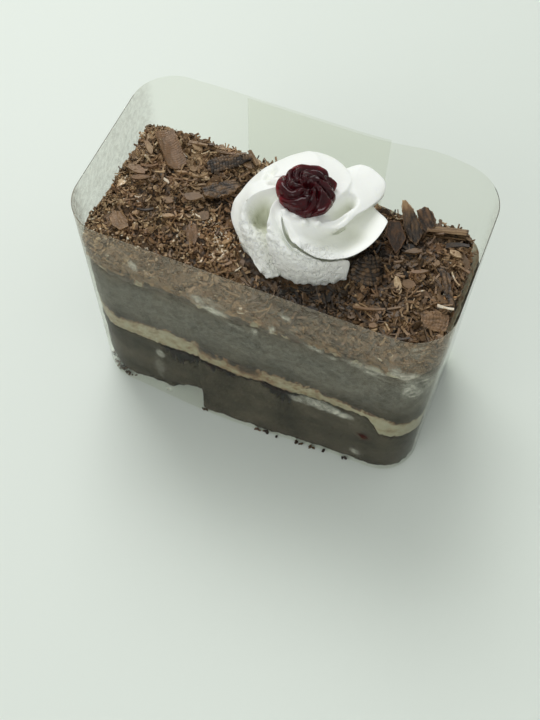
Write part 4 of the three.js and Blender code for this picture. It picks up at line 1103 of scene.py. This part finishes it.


# Places that are darker or lighter than the rest: middle, half widths and step. The second, third and fourth
# are painted shade: under the rosette's right-hand lip, before the shards and about the fan curl.
shades = [
    (-19.5, 1.6, 5, 2.2, -0.4), (22, 4.4, 6, 4.6, -0.45), (31, 8, 5, 3, -0.3), (24, -5, 7, 6, -0.12),
    (-14, -10, 7, 3.4, 0.2), (43, 9, 4, 4, 0.1),
]


def spot(places, middleX, middleY, wide, deep):  # 1 at a place on the heap, fading away from it
    return np.exp(-(((places[:, 0] - middleX) / wide) ** 2) - ((places[:, 1] - middleY) / deep) ** 2)


def tonesAt(places, middle, spread):  # darker to the right, with painted shadow before the rosette, and the listed darker and lighter spots
    x, y = places[:, 0], places[:, 1]
    drift = 0.12 * grain(places, 9, 4.4) + 0.06 - 0.11 * smooth(x, -18, 20)
    # painted shadow: the heap just before the rosette is darkened where the rosette shades it
    drift -= 0.34 * bump(x, 12, 13) * (1 - smooth(y, -14, -4)) * smooth(y, -27, -20)
    for middleX, middleY, wide, deep, step in shades:
        drift += step * spot(places, middleX, middleY, wide, deep)
    return middle + drift + dice.normal(0, spread, len(places))


def warmthAt(places):  # how red-brown a chip is: some of them, in patches
    patch = 0.1 + 0.6 * grain(places, 5, 8.1) + 0.5 * spot(places, -14, -10, 8, 3.5)
    return np.clip(patch + 0.35 * grain(places, 0.9, 2.9), 0, 1)


# Bits of cream on the heap and crumbs at the film's foot: middle, spread and number.
creamBits = [
    (-17, -6, 3.6, 2, 60), (-11, -8.4, 2.6, 1.4, 24), (-47, -2.4, 0.7, 1.4, 7), (45.4, -4.4, 1.6, 1.6, 12),
    (-34, -19.4, 3, 1.4, 5), (-14, 15.6, 5, 1.6, 6),
]
footCrumbs = [
    (-47.2, -22.2, 0.5, 0.5, 5), (-44.4, -24.2, 0.9, 0.6, 9), (-42.2, -25.4, 1, 0.5, 12),
    (-39.6, -26.6, 1.4, 0.3, 9), (-12.9, -28.9, 0.5, 0.2, 5), (5.6, -29, 1.7, 0.15, 9),
    (20.6, -28.2, 2.2, 0.2, 9), (32, -27.5, 0.6, 0.2, 3),
]


def dropRound(spots):  # x and y of bits strewn round each spot
    rows = [dice.normal(0, 1, 2) * (wide, deep) + (x, y) for x, y, wide, deep, n in spots for _ in range(n)]
    return np.array(rows).T


def scatterBits(crumbs):
    x, y = dropRound(creamBits)
    x, y = ontoSlice(np.clip(x, -48.6, 48.8), np.clip(y, -25.8, 20))
    count = len(x)
    places = np.stack([x, y, heapTop(x, y) + dice.uniform(0.7, 1.5, count)], 1)
    sizes = dice.uniform(0.4, 1.1, (count, 3)) * np.array([1.3, 0.7, 0.5])
    turns = turnsFor(count, 40)
    bits = copyMany("creamBits", crumbs, places, turns, sizes, dice.uniform(0, 0.32, count), warmth=0)
    finishPiece(bits, whippedBits, sharp=35)

    x, y = dropRound(footCrumbs)
    count = len(x)
    size = dice.uniform(0.6, 1.5, count)
    places = np.stack([x, np.maximum(y, -29.2), 0.45 * size], 1)
    sizes = size[:, None] * np.array([1.2, 0.8, 0.7])
    turns = turnsFor(count, 30)
    fallen = copyMany("fallenCrumbs", crumbs, places, turns, sizes, dice.uniform(0, 0.3, count), keep=False)
    points = readPoints(fallen)
    lowest = np.array([-np.inf, -29.36, 0.01])  # inside the object's front and on its foot
    writePoints(fallen, np.maximum(points, lowest))
    finishPiece(fallen, chocolate, sharp=35)


# Chips that each have a place of their own: middle x and y, length, width, heading and tone.
laidChips = [
    (-31.7, 16.2, 5.4, 0.9, 5, 0.5), (-34.7, 18.2, 2.2, 0.8, -19, 0.2), (-22.6, 17.1, 8.3, 0.9, 21, 0.34),
    (-31.8, 5.8, 3.2, 0.8, 13, 0.62), (-27.3, 6.5, 5.1, 0.9, 17, 0.62), (-41.3, -0.5, 5.7, 1.6, 18, 0.36),
    (-45.2, -3.2, 4.2, 1.9, 74, 0.8), (-43.3, 9.4, 5.3, 2.1, -52, 0.55), (-26.2, -0.5, 5.7, 3.2, 12, 0.36),
    (-21.5, -4.4, 4.7, 2.7, 19, 0.36), (-17.3, 15.7, 3.8, 2.1, -25, 0.4), (-15.7, 17.6, 3.8, 2, -26, 0.62),
    (-33, 16, 3.8, 0.8, 40, 0.3), (-28.9, 17.6, 2.6, 0.9, 11, 0.2), (-43.3, 2, 5.7, 3.2, -16, 0.42),
    (-31.5, -4.2, 3, 2.1, 3, 0.45), (-31.5, 1.6, 2.4, 1, -37, 0.66), (-29.2, -8.4, 3.3, 1.4, 17, 0.6),
    (-35.4, -9.4, 4.4, 0.6, -155, 0.02), (32.5, -5, 5.4, 2.1, -59, 0.72), (33.1, 6.1, 5.7, 1.8, 23, 0.24),
    (43.4, 9.1, 3.6, 2.1, -24, 0.7), (45.6, 1.5, 4.4, 0.4, -46, 0.8), (38.1, -5.3, 3.2, 0.3, 30, 0.8),
    (45.8, -7.3, 4.2, 0.7, 8, 0.9), (30.2, -13.9, 12, 0.7, 24, 0.42), (36.4, 0.1, 4.8, 1.3, 19, 0.4),
    (39.4, 4.6, 2.9, 2.1, -39, 0.5), (42.9, 12, 5.9, 1.4, 20, 0.06), (31, -18.6, 2.1, 1.6, 15, 0.5),
    (35.1, -4.3, 3.7, 3.2, 18, 0.38), (46.6, 7.5, 5.2, 1.8, -58, 0.3), (43, 1.6, 4.8, 2.1, -43, 0.1),
    (36.5, 13.8, 4.5, 1.8, -8, 0.3), (24.1, 0.6, 3.7, 1.4, -9, 0.36),
]


def layChips(name, shapes, slender):  # slender ones from a needle, wide ones from a flake
    rows = np.array([row for row in laidChips if (row[3] < 0.25 * row[2]) == slender])
    x, y, long, wide, heading, tone = rows.T
    places = np.stack([x, y, heapTop(x, y) + 1.5], 1)
    sizes = np.stack([long, wide, 0 * wide + 0.6], 1)
    return copyMany(name, shapes, places, turnsFor(len(rows), 7, heading), sizes, tone)


# The loose chips, in the order they are strewn. A length is drawn from a gamma distribution and clipped, or
# drawn evenly; chips at the front left are finer; width and thickness are in millimetres, or where "shares"
# has a 1, shares of the length.
looseChips = [
    {"name": "shavingsNeedles", "count": 4600, "lift": (-0.1, 1.5), "room": 1.6,
     "gamma": (4.0, 0.62), "length": (1.0, 5.5), "finer": 0.42, "width": (0.28, 0.75),
     "thickness": (0.2, 0.45), "shares": (0, 0), "tilt": 20, "tone": 0.44, "spread": 0.16},
    {"name": "shavingsFlakes", "count": 2600, "lift": (-0.2, 1.2), "room": 1.0,
     "gamma": (5.0, 0.42), "length": (0.9, 4.2), "finer": 0.38, "width": (0.45, 0.95),
     "thickness": (0.25, 0.5), "shares": (1, 0), "tilt": 24, "tone": 0.39, "spread": 0.17},
    {"name": "shavingsGrains", "count": 6500, "lift": (-0.3, 1.0), "room": 0.2,
     "length": (0.4, 1.15), "finer": 0, "width": (0.6, 1), "thickness": (0.5, 0.9),
     "shares": (1, 1), "tilt": 60, "tone": 0.38, "spread": 0.2},
]
sideChips = {
    "name": "shavingsSide", "count": 2200, "pull": (-0.35, 0.4),
    "gamma": (5.0, 0.4), "length": (0.8, 3.6), "finer": 0, "width": (0.3, 0.9), "thickness": (0.25, 0.5),
    "shares": (1, 0), "tilt": 16, "tone": 0.34, "spread": 0.16,
}


def chipSizes(spec, places):
    count = len(places)
    if "gamma" in spec:
        long = dice.gamma(*spec["gamma"], count).clip(*spec["length"])
    else:
        long = dice.uniform(*spec["length"], count)
    long *= 1 - spec["finer"] * smooth(-places[:, 0], 10, 20) * smooth(-places[:, 1], -6, 3)
    wide = long ** spec["shares"][0] * dice.uniform(*spec["width"], count)
    thick = long ** spec["shares"][1] * dice.uniform(*spec["thickness"], count)
    return np.stack([long, wide, thick], 1)


def strewChips(spec, shapes):
    places = scatter(spec["count"], spec["lift"], spec["room"])
    sizes, turns = chipSizes(spec, places), turnsFor(len(places), spec["tilt"])
    return copyMany(spec["name"], shapes, places, turns, sizes, tonesAt(places, spec["tone"], spec["spread"]))


def strewSide(spec, shapes):  # chips that stand flat against the heap's side
    count = spec["count"]
    route = dice.uniform(0, ringLength(cakeSides, cakeRadii), count)
    x, y, outX, outY = ringPoints(cakeSides, cakeRadii, route)
    pull = heapInset(x, y) + dice.uniform(*spec["pull"], count)
    z = lerp(seamHeight("topCream", x, y) - 0.1, heapTop(x, y) - 0.3, dice.uniform(0, 1, count))
    places = np.stack([x - outX * pull, y - outY * pull, z], 1)
    facing = np.degrees(np.arctan2(outY, outX)) + 90
    turns = turnsFor(count, spec["tilt"], facing) @ turnMatrix(90, 0, 0)
    turns = turns @ np.array([turnMatrix(0, 0, spin) for spin in dice.uniform(0, 360, count)])
    sizes = chipSizes(spec, places)
    return copyMany(spec["name"], shapes, places, turns, sizes, tonesAt(places, spec["tone"], spec["spread"]))


def makeShavings():
    needles, flakes, crumbs = (threeShapes(make) for make in (needleShape, flakeShape, crumbShape))
    made = [makeHeapCore()]
    made += [strewChips(spec, shapes) for spec, shapes in zip(looseChips, (needles, flakes, crumbs))]
    made.append(strewSide(sideChips, flakes))
    made += [layChips("laidSplinters", needles, True), layChips("laidFlakes", flakes, False)]
    for k, piece in enumerate(made):  # the core is smooth, the chips have edges
        finishPiece(piece, chocolate, ["chocolate_shavings"], sharp=35 if k else None)
    scatterBits(crumbs)
    for k, spec in enumerate(bigPieces):
        finishPiece(makePlatePiece(spec, 3.7 * k + 1), chocolate, [spec["node"]], sharp=50)
    for k, spec in enumerate(curls):
        finishPiece(makeCurlPiece(spec, 5.1 * k + 2), chocolate, [spec["node"]], sharp=50)


makeShavings()
print("shavings heaped")


cherry = {
    "centre": (4.9, 2.4), "foot": 75.6, "height": 5.4, "top": 83.2,
    # outline: angle in degrees and distance from the middle
    "outline": [
        (0, 7.3), (12, 7.5), (22, 6.6), (32, 7), (43, 8.1), (52, 7.2), (60, 7.5), (75, 8.2), (91, 8.8),
        (108, 8.4), (125, 9), (145, 8.5), (168, 8.3), (190, 8.5), (212, 7.9), (235, 7.5), (254, 7.3),
        (270, 7), (286, 7.4), (305, 7), (325, 7.3), (345, 7.1), (360, 7.3),
    ],
    "segments": 240, "rings": 110,
    "brimShare": 0.62, "brimRise": 0.32,  # how far down the ball the widest part is, and how high it stands
    "folds": 8, "twist": 1.9,
}


def cherryMaterial():
    # cherry jelly, set and piped: glossy and see-through, dark in the middle and red where it is thin
    material, add, shader, _ = newMaterial("setCherryJelly")
    thin = add("Attribute", out="Fac", attribute_name="tone")
    base = add("ValToRGB", {"Fac": thin}, [
        (0.0, "2c070c"), (0.4, "4a0a12"), (0.7, "85101c"), (1.0, "b01c28"),
    ])
    setInputs(shader, {
        "Base Color": base, "Roughness": 0.12, "IOR": 1.34,
        "Subsurface Weight": 0.35, "Subsurface Radius": (2.5 * mm, 0.4 * mm, 0.4 * mm),
    })
    return material


def makeCherry():
    piece, ball, turn, down = newBall("cherryTopping", cherry["segments"], cherry["rings"])
    centreX, centreY = cherry["centre"]
    outer = np.interp(turn, *zip(*cherry["outline"]))
    brim, brimRise = cherry["brimShare"], cherry["brimRise"]
    over = np.clip(down / brim, 0, 1) * math.pi / 2  # from the top to the brim
    below = (down - brim) / (1 - brim)  # from the brim to the foot
    upper = down < brim
    share = np.clip(np.where(upper, np.sin(over) ** 0.9, np.cos(below * math.pi / 2)), 0, 1)
    rise = brimRise + (1 - brimRise) * np.cos(over) ** 0.75
    rise = np.where(upper, rise, brimRise * (1 - down) / (1 - brim))
    seeds = np.stack([3 * ball[:, 0], 3 * ball[:, 1], 2 * ball[:, 2]], 1)
    warp = grain(seeds, 2.4, 2.0)
    phase = cherry["folds"] * (np.radians(turn) + cherry["twist"] * share + 0.7 * warp)
    ridge = np.abs(np.sin(phase / 2)) ** 0.7 * np.clip(0.9 + 0.7 * grain(seeds, 2.0, 5.0), 0.4, 1.2)
    crinkle = np.sin(6.2 * share * math.pi + 2.2 * warp + phase / 3) * (0.5 + grain(seeds, 1.6, 7.0))
    above = smooth(rise, 0.1, 0.4)
    depth = (1.3 * ridge + 0.3 * crinkle) * smooth(share, 0.08, 0.4) * lerp(0.5, 1, above)
    middle = 0.9 * bump(share, 0.22, 0.14) - 0.9 * bump(share, 0, 0.12)
    radius = outer * share * (0.9 + 0.07 * ridge + 0.03 * crinkle)
    z = cherry["foot"] + cherry["height"] * rise + (depth - 0.4) * above + middle * above
    x = centreX + radius * np.cos(np.radians(turn))
    y = centreY + radius * np.sin(np.radians(turn))
    writePoints(piece, np.stack([x, y, np.clip(z, cherry["foot"], cherry["top"])], 1))
    mergeAndFaceOut(piece)
    points = readPoints(piece)
    reach = np.hypot(points[:, 0] - centreX, points[:, 1] - centreY)
    paint(piece, "tone", 0.1 + 0.55 * smooth(reach, 5.2, 8.6) + 0.25 * grain(points, 2.0, 6.0))
    finishPiece(piece, cherryMaterial(), ["cherry_topping"])


makeCherry()
print("cherry topping set")
